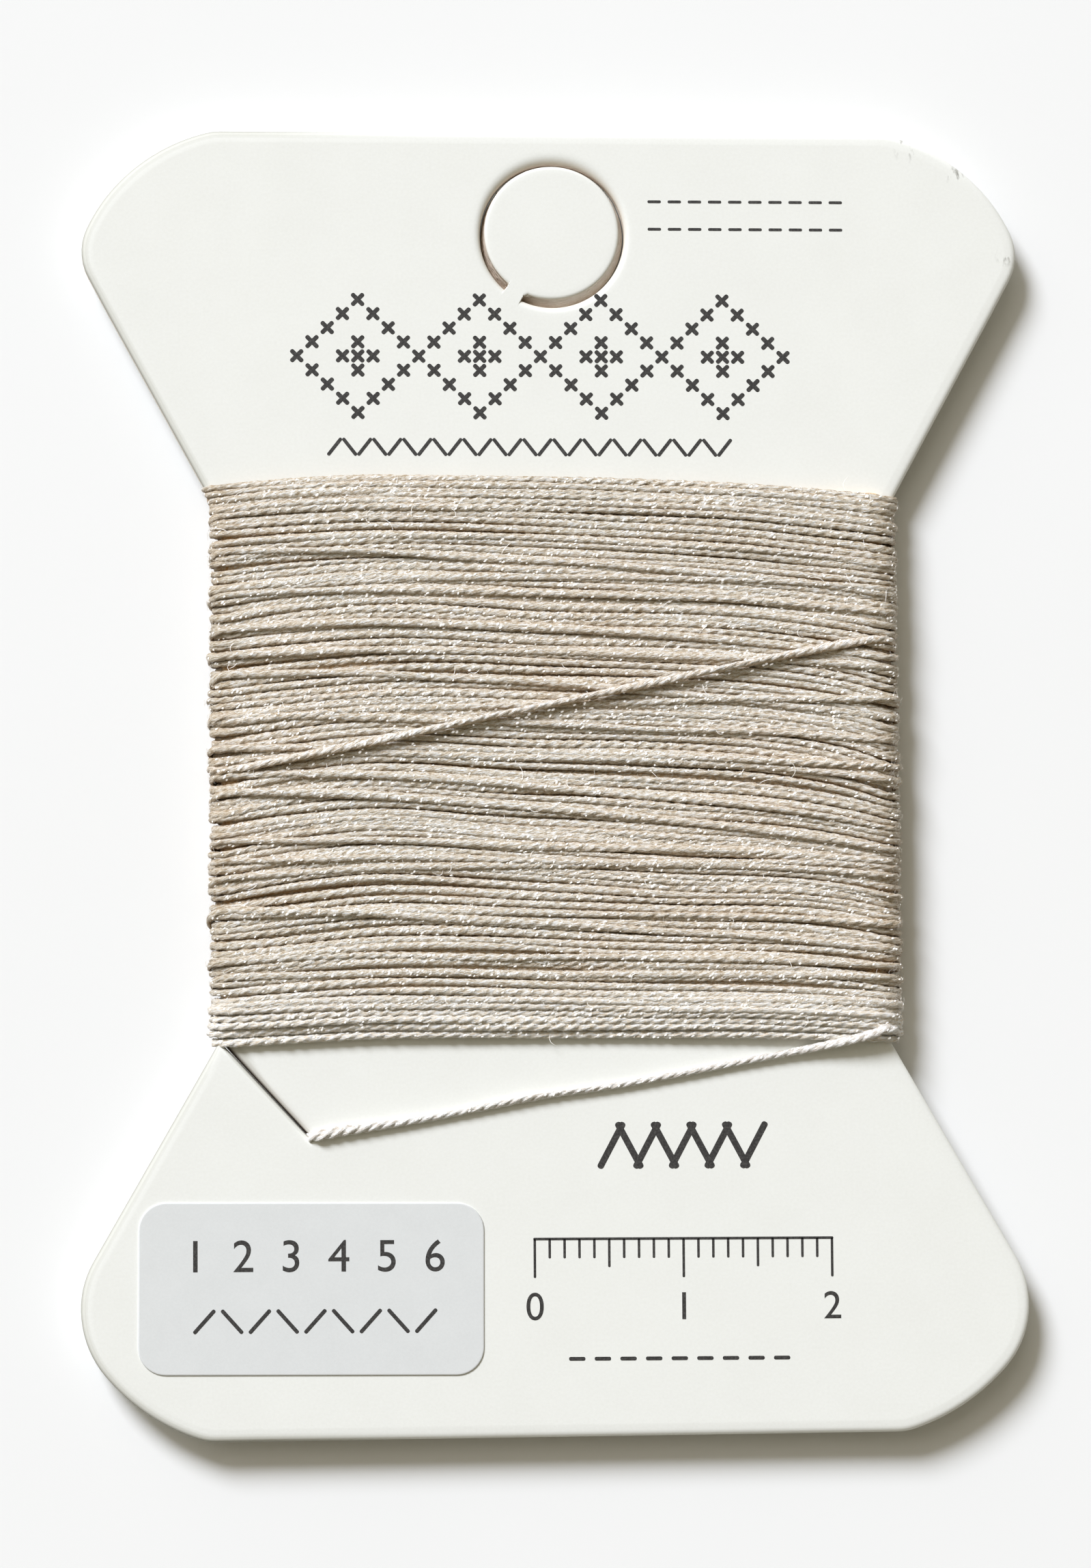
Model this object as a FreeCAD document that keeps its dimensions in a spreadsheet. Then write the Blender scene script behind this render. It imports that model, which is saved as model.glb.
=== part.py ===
"""Needlework thread card: a die-cut board card wound with glitter thread.

Millimetres. The card lies on the back of its winding: +X to the right, +Y towards the hang hole
and +Z out of the face. z = 0 is the surface under the winding, x = y = 0 the middle of the card.
"""
import FreeCAD, Part
import math
import os
import Sketcher
from FreeCAD import Placement, Rotation, Vector

SIZES = {
    "card_height": 88.2,
    "core_thick": 0.70,
    "liner_thick": 0.15,
    "waist_width": 43.4,
    "top_waist": 16.1,
    "bottom_waist": 16.35,
    "top_slant": 28.0,
    "top_ease_radius": 3.7,
    "top_ease_angle": 15.0,
    "top_sweep_radius": 12.2,
    "top_sweep_angle": 50.0,
    "top_nose_radius": 3.7,
    "bottom_slant": 29.8,
    "bottom_ease_radius": 4.0,
    "bottom_ease_angle": 18.0,
    "bottom_sweep_radius": 14.2,
    "bottom_sweep_angle": 30.0,
    "bottom_nose_radius": 6.3,
    "hole_x": 0.1,
    "hole_y": 36.93,
    "hole_radius": 4.92,
    "disc_radius": 4.5,
    "disc_shift_along": -0.24,
    "disc_shift_across": -0.23,
    "tab_angle": 236.6,
    "tab_width": 1.3,
    "hinge_reach": 4.6,
    "slit_x": -16.4,
    "slit_y": -24.45,
    "slit_angle": 132.8,
    "slit_length": 9.6,
    "slit_width": 0.2,
    "label_x": -16.4,
    "label_y": -34.45,
    "label_width": 23.0,
    "label_height": 11.5,
    "label_thick": 0.1,
    "label_corner": 1.85,
    "label_skew": -0.25,
    "thread_size": 0.62,
    "standing_flat": 0.062,
    "inner_build": 0.75,
    "inner_top": 20.2,
    "inner_bottom": 18.0,
    "wrap_x": 21.58,
    "turn_count": 24,
    "turn_lowest": -17.75,
    "turn_highest": 17.9,
    "edge_gap": 0.05,
}

BACK_Z = "(Sizes.inner_build + Sizes.thread_size - Sizes.standing_flat)"
BOARD_THICK = "(Sizes.core_thick + 2 * Sizes.liner_thick)"

LEAST_CUT = 0.01
UPRIGHT = 0.9
GAP_STEP = 0.25
GAP_CELL = 2.0
BEND_TRIM = 0.45

# The thread's way from the last turn: across the back, round the right edge, across the front,
# round the left edge, across the back again, round the right edge, down the face to the slit's
# end, through the card and out to its bare end.
FINISHING_ROUTE = [
    (-21.25, 18.68, 0.25),
    (-18.00, 18.68, 0.25),
    (17.50, 9.05, 0.25),
    (22.23, 8.70, 0.25),
    (23.14, 8.89, 1.16),
    (23.14, 9.08, 2.45),
    (22.23, 9.28, 3.37),
    (17.60, 8.45, 3.95),
    (-17.80, 1.00, 3.95),
    (-22.23, 0.17, 3.37),
    (-23.14, 0.37, 2.45),
    (-23.14, 0.56, 1.16),
    (-22.23, 0.75, 0.25),
    (-17.90, -0.75, 0.25),
    (17.70, -15.90, 0.25),
    (22.23, -17.65, 0.25),
    (23.14, -17.46, 1.16),
    (23.14, -17.27, 2.45),
    (22.23, -17.07, 3.37),
    (18.60, -17.95, 3.93),
    (11.50, -19.45, 3.12),
    (5.00, -20.85, 2.63),
    (-1.20, -21.62, 2.62),
    (-5.00, -22.42, 2.62),
    (-8.80, -23.12, 2.62),
    (-12.60, -23.70, 2.62),
    (-14.90, -24.02, 2.62),
    (-16.50, -24.30, 2.62),
    (-16.50, -24.30, 1.00),
    (-18.30, -24.60, 0.95),
    (-21.40, -24.92, 0.70),
    (-24.60, -24.45, 0.38),
]


def make_sheet(doc):
    """The driving sizes, one aliased cell each."""
    sheet = doc.addObject("Spreadsheet::Sheet", "Sizes")
    for row, (alias, value) in enumerate(SIZES.items(), start=1):
        sheet.set("A%d" % row, alias)
        sheet.set("B%d" % row, str(value))
        sheet.setAlias("B%d" % row, alias)
    doc.recompute()


def bind(item, **expressions):
    """Tie properties of an object to expressions on the sheet."""
    for prop, expression in expressions.items():
        item.setExpression(prop.replace("__", "."), expression)


def hold(sketch, name, expression, *constraint):
    """Add a named size to a sketch and tie it to the sheet."""
    index = sketch.addConstraint(Sketcher.Constraint(*constraint))
    sketch.renameConstraint(index, name)
    sketch.setExpression("Constraints." + name, expression)


def new_sketch(body, name):
    """A sketch on the body's own XY plane."""
    sketch = body.newObject("Sketcher::SketchObject", name)
    plane = [f for f in body.Origin.OriginFeatures if f.Role == "XY_Plane"][0]
    sketch.AttachmentSupport = (plane, [""])
    sketch.MapMode = "FlatFace"
    return sketch


class Pen:
    """Walks an outline clockwise and adds each straight or round piece to a sketch."""

    def __init__(self, sketch, x, y):
        self.sketch = sketch
        self.place = Vector(x, y, 0)
        self.heading = 0.0
        self.pieces = []

    def line(self, length):
        """Draw straight ahead."""
        way = math.radians(self.heading)
        end = self.place + Vector(math.cos(way), math.sin(way), 0) * length
        index = self.sketch.addGeometry(Part.LineSegment(self.place, end), False)
        self.pieces.append((index, 1, 2))
        self.place = end

    def arc(self, radius, angle):
        """Draw a clockwise arc."""
        side = math.radians(self.heading - 90)
        centre = self.place + Vector(math.cos(side), math.sin(side), 0) * radius
        first = math.radians(self.heading + 90)
        last = first - math.radians(angle)
        circle = Part.Circle(centre, Vector(0, 0, 1), radius)
        index = self.sketch.addGeometry(Part.ArcOfCircle(circle, last, first), False)
        self.pieces.append((index, 2, 1))
        self.place = centre + Vector(math.cos(last), math.sin(last), 0) * radius
        self.heading -= angle

    def turn(self, angle):
        """Turn on the spot, counterclockwise."""
        self.heading += angle


def corner_arcs(end):
    """Radius and angle of the three arcs of a top or bottom corner, from the flat outwards."""
    ease = SIZES[end + "_ease_angle"]
    sweep = SIZES[end + "_sweep_angle"]
    nose = 90 + SIZES[end + "_slant"] - ease - sweep
    return [
        (SIZES[end + "_ease_radius"], ease),
        (SIZES[end + "_sweep_radius"], sweep),
        (SIZES[end + "_nose_radius"], nose),
    ]


def corner_reach(end):
    """Half the flat's length and the slanted edge's length at the top or bottom."""
    dx = 0
    dy = 0
    heading = 0
    for radius, angle in corner_arcs(end):
        first = math.radians(heading)
        last = math.radians(heading + angle)
        dx += radius * (math.sin(last) - math.sin(first))
        dy += radius * (math.cos(first) - math.cos(last))
        heading += angle
    slant = math.radians(SIZES[end + "_slant"])
    drop = SIZES["card_height"] / 2 - dy - SIZES[end + "_waist"]
    edge_x = SIZES["waist_width"] / 2 + drop * math.tan(slant)
    return edge_x - dx, drop / math.cos(slant)


def draw_outline(sketch):
    """The card's outline, mirror-symmetric about the Y axis, every size from the sheet."""
    top = corner_arcs("top")
    bottom = corner_arcs("bottom")
    top_flat, top_edge = corner_reach("top")
    bottom_flat, bottom_edge = corner_reach("bottom")
    neck = SIZES["top_waist"] + SIZES["bottom_waist"]
    pen = Pen(sketch, -top_flat, SIZES["card_height"] / 2)
    pen.line(2 * top_flat)
    for radius, angle in top:
        pen.arc(radius, angle)
    pen.line(top_edge)
    pen.turn(SIZES["top_slant"])
    pen.line(neck)
    pen.turn(SIZES["bottom_slant"])
    pen.line(bottom_edge)
    for radius, angle in reversed(bottom):
        pen.arc(radius, angle)
    pen.line(2 * bottom_flat)
    for radius, angle in bottom:
        pen.arc(radius, angle)
    pen.line(bottom_edge)
    pen.turn(SIZES["bottom_slant"])
    pen.line(neck)
    pen.turn(SIZES["top_slant"])
    pen.line(top_edge)
    for radius, angle in reversed(top):
        pen.arc(radius, angle)
    join_outline(sketch, pen.pieces)
    size_corners(sketch, pen.pieces)
    size_straights(sketch, pen.pieces)


def join_outline(sketch, pieces):
    """Join the outline's pieces end to end and make the left half mirror the right one."""
    count = len(pieces)
    flat_low = count // 2
    smooth = [0, 1, 2, 3, 6, 7, 8, 9]
    for i in range(count):
        here, _, leave = pieces[i]
        following, enter, _ = pieces[(i + 1) % count]
        kind = "Tangent" if i in smooth else "Coincident"
        sketch.addConstraint(Sketcher.Constraint(kind, here, leave, following, enter))
    for i in (0, flat_low):
        index = pieces[i][0]
        sketch.addConstraint(Sketcher.Constraint("Symmetric", index, 1, index, 2, -2))
    for i in range(1, flat_low - 1):
        here, _, leave = pieces[i]
        mirrored, enter, _ = pieces[count - i]
        sketch.addConstraint(Sketcher.Constraint("Symmetric", here, leave, mirrored, enter, -2))


def size_corners(sketch, pieces):
    """Tie the radius and span of each arc on the right to the sheet."""
    arcs = {
        "top_ease": 1,
        "top_sweep": 2,
        "top_nose": 3,
        "bottom_nose": 7,
        "bottom_sweep": 8,
        "bottom_ease": 9,
    }
    for name, i in arcs.items():
        arc = pieces[i][0]
        mirrored = pieces[len(pieces) - i][0]
        radius = SIZES[name + "_radius"]
        hold(sketch, name, "Sizes." + name + "_radius", "Radius", arc, radius)
        if "nose" not in name:
            angle = math.radians(SIZES[name + "_angle"])
            hold(sketch, name + "_span", "Sizes." + name + "_angle * 1 deg", "Angle", arc, angle)
        sketch.addConstraint(Sketcher.Constraint("Equal", arc, mirrored))


def size_straights(sketch, pieces):
    """Tie the slants, the waist and the height to the sheet."""
    top_edge = pieces[4][0]
    waist = pieces[5][0]
    bottom_edge = pieces[6][0]
    top_way = math.radians(-90 - SIZES["top_slant"])
    bottom_way = math.radians(SIZES["bottom_slant"] - 90)
    hold(sketch, "top_slant", "(-90 - Sizes.top_slant) * 1 deg", "Angle", top_edge, top_way)
    hold(sketch, "bottom_slant", "(Sizes.bottom_slant - 90) * 1 deg", "Angle", bottom_edge, bottom_way)
    sketch.addConstraint(Sketcher.Constraint("Vertical", waist))
    half_waist = SIZES["waist_width"] / 2
    hold(sketch, "waist", "Sizes.waist_width / 2", "DistanceX", -1, 1, waist, 1, half_waist)
    hold(sketch, "waist_top", "Sizes.top_waist", "DistanceY", -1, 1, waist, 1, SIZES["top_waist"])
    hold(sketch, "waist_low", "Sizes.bottom_waist", "DistanceY", waist, 2, -1, 1, SIZES["bottom_waist"])
    half = SIZES["card_height"] / 2
    flat_low = pieces[len(pieces) // 2][0]
    hold(sketch, "top", "Sizes.card_height / 2", "DistanceY", -1, 1, pieces[0][0], 2, half)
    hold(sketch, "low", "Sizes.card_height / 2", "DistanceY", flat_low, 1, -1, 1, half)


def draw_round_with_tab(sketch, radius_alias, along, across):
    """A circle with the hang disc's uncut tab on its +X side, ending at the fold line.

    along and across are the aliases of the circle's centre, or None for a centre on the origin.
    """
    radius = SIZES[radius_alias]
    cx = SIZES[along] if along else 0
    cy = SIZES[across] if across else 0
    half = SIZES["tab_width"] / 2
    reach = SIZES["hinge_reach"]
    upper = Vector(cx + math.sqrt(radius ** 2 - (half - cy) ** 2), half, 0)
    lower = Vector(cx + math.sqrt(radius ** 2 - (-half - cy) ** 2), -half, 0)
    circle = Part.Circle(Vector(cx, cy, 0), Vector(0, 0, 1), radius)
    first = math.atan2(upper.y - cy, upper.x - cx)
    last = math.atan2(lower.y - cy, lower.x - cx) + 2 * math.pi
    sketch.addGeometry(Part.ArcOfCircle(circle, first, last), False)
    sketch.addGeometry(Part.LineSegment(lower, Vector(reach, -half, 0)), False)
    sketch.addGeometry(Part.LineSegment(Vector(reach, -half, 0), Vector(reach, half, 0)), False)
    sketch.addGeometry(Part.LineSegment(Vector(reach, half, 0), upper), False)
    sketch.addConstraint(Sketcher.Constraint("Coincident", 0, 2, 1, 1))
    sketch.addConstraint(Sketcher.Constraint("Coincident", 1, 2, 2, 1))
    sketch.addConstraint(Sketcher.Constraint("Coincident", 2, 2, 3, 1))
    sketch.addConstraint(Sketcher.Constraint("Coincident", 3, 2, 0, 1))
    sketch.addConstraint(Sketcher.Constraint("Horizontal", 1))
    sketch.addConstraint(Sketcher.Constraint("Horizontal", 3))
    sketch.addConstraint(Sketcher.Constraint("Symmetric", 2, 1, 2, 2, -1))
    hold(sketch, "reach", "Sizes.hinge_reach", "DistanceX", -1, 1, 2, 1, reach)
    hold(sketch, "tab", "Sizes.tab_width", "DistanceY", 2, 1, 2, 2, 2 * half)
    hold(sketch, "round", "Sizes." + radius_alias, "Radius", 0, radius)
    if along:
        hold(sketch, "along", "-Sizes." + along, "DistanceX", 0, 3, -1, 1, -cx)
        hold(sketch, "across", "-Sizes." + across, "DistanceY", 0, 3, -1, 1, -cy)
    else:
        sketch.addConstraint(Sketcher.Constraint("Coincident", 0, 3, -1, 1))


def draw_slit(sketch):
    """The slit's thin rectangle, from its end along +X."""
    length = SIZES["slit_length"]
    half = SIZES["slit_width"] / 2
    corners = [
        Vector(0, -half, 0),
        Vector(length, -half, 0),
        Vector(length, half, 0),
        Vector(0, half, 0),
    ]
    draw_rectangle(sketch, corners)
    sketch.addConstraint(Sketcher.Constraint("Symmetric", 3, 1, 3, 2, -1))
    sketch.addConstraint(Sketcher.Constraint("PointOnObject", 3, 1, -2))
    hold(sketch, "length", "Sizes.slit_length", "DistanceX", 0, 1, 0, 2, length)
    hold(sketch, "width", "Sizes.slit_width", "DistanceY", 1, 1, 1, 2, 2 * half)


def draw_rectangle(sketch, corners):
    """Four joined lines, two level and the right one upright."""
    for i in range(4):
        sketch.addGeometry(Part.LineSegment(corners[i], corners[(i + 1) % 4]), False)
    for i in range(4):
        sketch.addConstraint(Sketcher.Constraint("Coincident", i, 2, (i + 1) % 4, 1))
    sketch.addConstraint(Sketcher.Constraint("Horizontal", 0))
    sketch.addConstraint(Sketcher.Constraint("Horizontal", 2))
    sketch.addConstraint(Sketcher.Constraint("Vertical", 1))


def pad(body, sketch, name, thickness):
    """Raise a sketch by a thickness from the sheet."""
    feature = body.newObject("PartDesign::Pad", name)
    feature.Profile = sketch
    bind(feature, Length=thickness)
    sketch.Visibility = False
    return feature


def pocket(doc, body, sketch, name):
    """Cut a sketch right through the body and make sure that it removed something."""
    doc.recompute()
    before = body.Shape.Volume
    feature = body.newObject("PartDesign::Pocket", name)
    feature.Profile = sketch
    feature.Type = "ThroughAll"
    feature.Midplane = True
    doc.recompute()
    if body.Shape.Volume > before - LEAST_CUT:
        raise RuntimeError(name + " cut nothing")


def turned(angle_alias):
    """A placement turned about Z by an angle from the sheet."""
    return Placement(Vector(0, 0, 0), Rotation(Vector(0, 0, 1), SIZES[angle_alias]))


def card_layer(doc, label, height, thickness):
    """One ply of the card: the outline with the hang hole and the slit cut through."""
    body = doc.addObject("PartDesign::Body", label)
    outline = new_sketch(body, label + "_outline")
    draw_outline(outline)
    pad(body, outline, label + "_pad", thickness)
    hole = new_sketch(body, label + "_hole_profile")
    draw_round_with_tab(hole, "hole_radius", None, None)
    hole.AttachmentOffset = turned("tab_angle")
    bind(
        hole,
        AttachmentOffset__Base__x="Sizes.hole_x",
        AttachmentOffset__Base__y="Sizes.hole_y",
        AttachmentOffset__Rotation__Angle="Sizes.tab_angle * 1 deg",
    )
    pocket(doc, body, hole, label + "_hole")
    slit = new_sketch(body, label + "_slit_profile")
    draw_slit(slit)
    slit.AttachmentOffset = turned("slit_angle")
    bind(
        slit,
        AttachmentOffset__Base__x="Sizes.slit_x",
        AttachmentOffset__Base__y="Sizes.slit_y",
        AttachmentOffset__Rotation__Angle="Sizes.slit_angle * 1 deg",
    )
    pocket(doc, body, slit, label + "_slit")
    bind(body, Placement__Base__z=height)
    return body


def disc_layer(doc, label, height, thickness):
    """One ply of the hang disc, up to the fold line across its tab."""
    body = doc.addObject("PartDesign::Body", label)
    profile = new_sketch(body, label + "_profile")
    draw_round_with_tab(profile, "disc_radius", "disc_shift_along", "disc_shift_across")
    pad(body, profile, label + "_pad", thickness)
    body.Placement = turned("tab_angle")
    bind(
        body,
        Placement__Base__x="Sizes.hole_x",
        Placement__Base__y="Sizes.hole_y",
        Placement__Base__z=height,
        Placement__Rotation__Angle="Sizes.tab_angle * 1 deg",
    )
    return body


def plies(doc):
    """The card's and the hang disc's core board and white liners."""
    core_z = BACK_Z + " + Sizes.liner_thick"
    face_z = BACK_Z + " + Sizes.liner_thick + Sizes.core_thick"
    stack = [
        ("back_liner", BACK_Z, "Sizes.liner_thick"),
        ("core", core_z, "Sizes.core_thick"),
        ("face_liner", face_z, "Sizes.liner_thick"),
    ]
    made = [card_layer(doc, "card_" + ply, height, thickness) for ply, height, thickness in stack]
    made += [disc_layer(doc, "hang_disc_" + ply, height, thickness) for ply, height, thickness in stack]
    return made


def label_sticker(doc):
    """The paper label on the lower left of the face, stuck on very slightly askew."""
    body = doc.addObject("PartDesign::Body", "label")
    sketch = new_sketch(body, "label_outline")
    width = SIZES["label_width"] / 2
    height = SIZES["label_height"] / 2
    corners = [
        Vector(-width, -height, 0),
        Vector(width, -height, 0),
        Vector(width, height, 0),
        Vector(-width, height, 0),
    ]
    draw_rectangle(sketch, corners)
    sketch.addConstraint(Sketcher.Constraint("Symmetric", 0, 1, 1, 2, -1, 1))
    hold(sketch, "width", "Sizes.label_width", "DistanceX", 0, 1, 0, 2, 2 * width)
    hold(sketch, "height", "Sizes.label_height", "DistanceY", 1, 1, 1, 2, 2 * height)
    paper = pad(body, sketch, "label_pad", "Sizes.label_thick")
    doc.recompute()
    upright = []
    for i, edge in enumerate(paper.Shape.Edges, start=1):
        if abs(edge.tangentAt(edge.FirstParameter).z) > UPRIGHT:
            upright.append("Edge%d" % i)
    rounding = body.newObject("PartDesign::Fillet", "label_corners")
    rounding.Base = (paper, upright)
    bind(rounding, Radius="Sizes.label_corner")
    body.Placement = turned("label_skew")
    bind(
        body,
        Placement__Base__x="Sizes.label_x",
        Placement__Base__y="Sizes.label_y",
        Placement__Base__z=BACK_Z + " + " + BOARD_THICK,
        Placement__Rotation__Angle="Sizes.label_skew * 1 deg",
    )
    return body


def inner_layers(doc):
    """The buried layers of thread: a round-sided sleeve about the waist, clear of the board."""
    half_build = "(Sizes.inner_build + " + BOARD_THICK + " / 2)"
    mid_z = "(" + BACK_Z + " + " + BOARD_THICK + " / 2)"
    slab = doc.addObject("Part::Box", "inner_slab")
    bind(
        slab,
        Length="2 * Sizes.wrap_x",
        Width="Sizes.inner_top + Sizes.inner_bottom",
        Height="2 * " + half_build,
        Placement__Base__x="-Sizes.wrap_x",
        Placement__Base__y="-Sizes.inner_bottom",
        Placement__Base__z=mid_z + " - " + half_build,
    )
    rolls = []
    for name, side in (("inner_left_roll", "-"), ("inner_right_roll", "")):
        roll = doc.addObject("Part::Cylinder", name)
        roll.Placement = Placement(Vector(0, 0, 0), Rotation(Vector(1, 0, 0), -90))
        bind(
            roll,
            Radius=half_build,
            Height="Sizes.inner_top + Sizes.inner_bottom",
            Placement__Base__x=side + "Sizes.wrap_x",
            Placement__Base__y="-Sizes.inner_bottom",
            Placement__Base__z=mid_z,
        )
        rolls.append(roll)
    sleeve = doc.addObject("Part::MultiFuse", "inner_sleeve")
    sleeve.Shapes = [slab] + rolls
    sleeve.Refine = True
    blank = doc.addObject("PartDesign::Body", "uncut_card")
    outline = new_sketch(blank, "uncut_card_outline")
    draw_outline(outline)
    pad(blank, outline, "uncut_card_pad", BOARD_THICK)
    bind(blank, Placement__Base__z=BACK_Z)
    layers = doc.addObject("Part::Cut", "winding_inner_layers")
    layers.Base = sleeve
    layers.Tool = blank
    return layers


def half_width(y):
    """Half the card's width beside the winding at a height above or below the middle."""
    end = "top" if y > 0 else "bottom"
    past_waist = max(0, abs(y) - SIZES[end + "_waist"])
    return SIZES["waist_width"] / 2 + past_waist * math.tan(math.radians(SIZES[end + "_slant"]))


def turn_edges():
    """The outer turns' centre line: level runs, with a half turn at each edge of the card."""
    half_size = SIZES["thread_size"] / 2
    half_board = SIZES["core_thick"] / 2 + SIZES["liner_thick"]
    radius = half_board + SIZES["inner_build"] + half_size
    middle = radius + half_size - SIZES["standing_flat"]
    count = SIZES["turn_count"]
    pitch = (SIZES["turn_highest"] - SIZES["turn_lowest"]) / (count - 1)
    bend = radius - half_size - SIZES["edge_gap"]

    def wrap_centre(y):
        """How far out a half turn at this height is centred, to clear the card's edge."""
        return max(SIZES["wrap_x"], half_width(y + math.copysign(pitch / 4, y)) - bend)

    edges = []
    place = Vector(0, SIZES["turn_lowest"] - pitch / 2, middle - radius)
    for half_turn in range(2 * count):
        side = 1 if half_turn % 2 == 0 else -1
        centre_y = place.y + pitch / 4
        bend_start = Vector(side * wrap_centre(centre_y), place.y, place.z)
        bend_end = Vector(bend_start.x, place.y + pitch / 2, 2 * middle - place.z)
        outmost = Vector(bend_start.x + side * math.hypot(radius, pitch / 4), centre_y, middle)
        edges.append(Part.LineSegment(place, bend_start).toShape())
        edges.append(Part.Arc(bend_start, outmost, bend_end).toShape())
        place = bend_end
    tail = Vector(place.x + SIZES["thread_size"], place.y, place.z)
    edges.append(Part.LineSegment(place, tail).toShape())
    return edges


def tube_along(edges):
    """A round tube of the thread's size, swept along joined edges, and its centre line."""
    radius = SIZES["thread_size"] / 2
    spine = Part.Wire(edges)
    start = edges[0].Vertexes[0].Point
    way = edges[0].tangentAt(edges[0].FirstParameter)
    section = Part.Wire([Part.Circle(start, way, radius).toShape()])
    shell = Part.BRepOffsetAPI.MakePipeShell(spine)
    shell.add(section)
    if not shell.isReady():
        raise RuntimeError("the tube's section does not fit its line")
    shell.build()
    shell.makeSolid()
    solid = shell.shape()
    wanted = math.pi * radius ** 2 * spine.Length
    print("tube length %.1f, volume %.2f of %.2f" % (spine.Length, solid.Volume, wanted))
    return solid, spine


def cut_standing_flat(solid):
    """Take off what would reach below the surface that the card lies on."""
    box = solid.BoundBox
    below = Part.makeBox(box.XLength + 2, box.YLength + 2, 1, Vector(box.XMin - 1, box.YMin - 1, -1))
    return solid.cut(below)


def gap_cell(point):
    """The cube of space that a point is in, for finding its neighbours."""
    return int(point.x // GAP_CELL), int(point.y // GAP_CELL), int(point.z // GAP_CELL)


def print_least_gap(spine):
    """Measure on points how near the turns come to each other."""
    size = SIZES["thread_size"]
    points = spine.discretize(int(spine.Length / GAP_STEP))
    skip = int(4 * size / GAP_STEP) + 1
    cells = {}
    for i, point in enumerate(points):
        cells.setdefault(gap_cell(point), []).append(i)
    nearby = [(i, j, k) for i in (-1, 0, 1) for j in (-1, 0, 1) for k in (-1, 0, 1)]
    least = spine.Length
    for i, point in enumerate(points):
        cell = gap_cell(point)
        for step in nearby:
            neighbours = cells.get((cell[0] + step[0], cell[1] + step[1], cell[2] + step[2]), [])
            for j in neighbours:
                if j > i + skip:
                    least = min(least, point.distanceToPoint(points[j]))
    print("least gap of the turns to themselves %.2f" % (least - size))


def outer_turns(doc):
    """The outer layer of thread: one unbroken tube, flattened where the card lies on it."""
    solid, spine = tube_along(turn_edges())
    print_least_gap(spine)
    turns = doc.addObject("Part::Feature", "winding_outer_turns")
    turns.Shape = cut_standing_flat(solid)
    turns.Placement = Placement()
    return turns


def route_edges(route):
    """Straight runs along a route, joined by arcs as large as the shorter run allows."""
    points = [Vector(*point) for point in route]
    edges = []
    radii = []
    place = points[0]
    for before, corner, after in zip(points, points[1:], points[2:]):
        arriving = (corner - before).normalize()
        leaving = (after - corner).normalize()
        half = arriving.getAngle(leaving) / 2
        trim = BEND_TRIM * min((corner - before).Length, (after - corner).Length)
        radius = trim / math.tan(half)
        bend_start = corner - arriving * trim
        bend_end = corner + leaving * trim
        outward = (arriving - leaving).normalize()
        middle = corner - outward * (radius / math.cos(half) - radius)
        edges.append(Part.LineSegment(place, bend_start).toShape())
        edges.append(Part.Arc(bend_start, middle, bend_end).toShape())
        radii.append("%.1f" % radius)
        place = bend_end
    edges.append(Part.LineSegment(place, points[-1]).toShape())
    print("bend radii", " ".join(radii))
    return edges


def finishing_run(doc):
    """The thread's last stretch, from the outermost turn to its bare end behind the slit."""
    solid, _ = tube_along(route_edges(FINISHING_ROUTE))
    run = doc.addObject("Part::Feature", "thread_finishing_run")
    run.Shape = cut_standing_flat(solid)
    run.Placement = Placement()
    return run


def check_and_export(doc, nodes):
    """Stop on any failed object or bad shape, then write each node's own file."""
    doc.recompute()
    for item in doc.Objects:
        if "Invalid" in item.State or "Error" in item.State:
            raise RuntimeError("%s failed: %s" % (item.Name, item.State))
    for node in nodes:
        if node.Shape.isNull() or not node.Shape.isValid() or len(node.Shape.Solids) != 1:
            raise RuntimeError("%s is not one valid solid" % node.Label)
    os.makedirs("parts", exist_ok=True)
    for node in nodes:
        node.Shape.exportStep("parts/" + node.Label + ".step")
        print("%-22s volume %8.2f" % (node.Label, node.Shape.Volume))


def main():
    """Build the document and write the parts."""
    doc = FreeCAD.newDocument("thread_card")
    make_sheet(doc)
    nodes = plies(doc)
    nodes.append(label_sticker(doc))
    nodes.append(inner_layers(doc))
    nodes.append(outer_turns(doc))
    nodes.append(finishing_run(doc))
    check_and_export(doc, nodes)


main()
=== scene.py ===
"""Needlework thread card, dressed: board card, hang disc, label, print and the wound thread.

Sizes are in millimetres in the classes' fields and turn into metres where a mesh is made. The
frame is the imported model's: +X right, +Y towards the hang hole, +Z out of the card's face, and
z = 0 is the surface that the back of the winding lies on.
"""
import logging
import math
from dataclasses import dataclass, field
from enum import Enum
from typing import Callable, Sequence

import bmesh
import bpy
import numpy as np
from mathutils import Matrix, Vector


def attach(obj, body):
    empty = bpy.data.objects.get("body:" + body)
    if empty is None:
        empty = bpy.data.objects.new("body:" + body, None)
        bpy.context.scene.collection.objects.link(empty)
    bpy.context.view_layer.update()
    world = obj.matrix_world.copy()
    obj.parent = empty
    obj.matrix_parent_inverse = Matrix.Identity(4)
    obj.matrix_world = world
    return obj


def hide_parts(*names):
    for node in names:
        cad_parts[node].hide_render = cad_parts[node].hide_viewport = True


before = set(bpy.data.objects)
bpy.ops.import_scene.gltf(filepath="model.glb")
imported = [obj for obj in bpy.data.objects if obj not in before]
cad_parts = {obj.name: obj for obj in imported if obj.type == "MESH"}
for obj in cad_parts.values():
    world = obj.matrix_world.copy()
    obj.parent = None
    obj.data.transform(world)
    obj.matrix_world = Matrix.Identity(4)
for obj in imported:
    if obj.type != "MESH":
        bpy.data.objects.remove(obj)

Piece = bpy.types.Object
Finish = bpy.types.Material
Socket = bpy.types.NodeSocket
Triple = tuple[float, float, float]
Colour = Triple
Pair = tuple[float, float]

LOG = logging.getLogger("thread_card")
MM = 0.001

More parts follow.
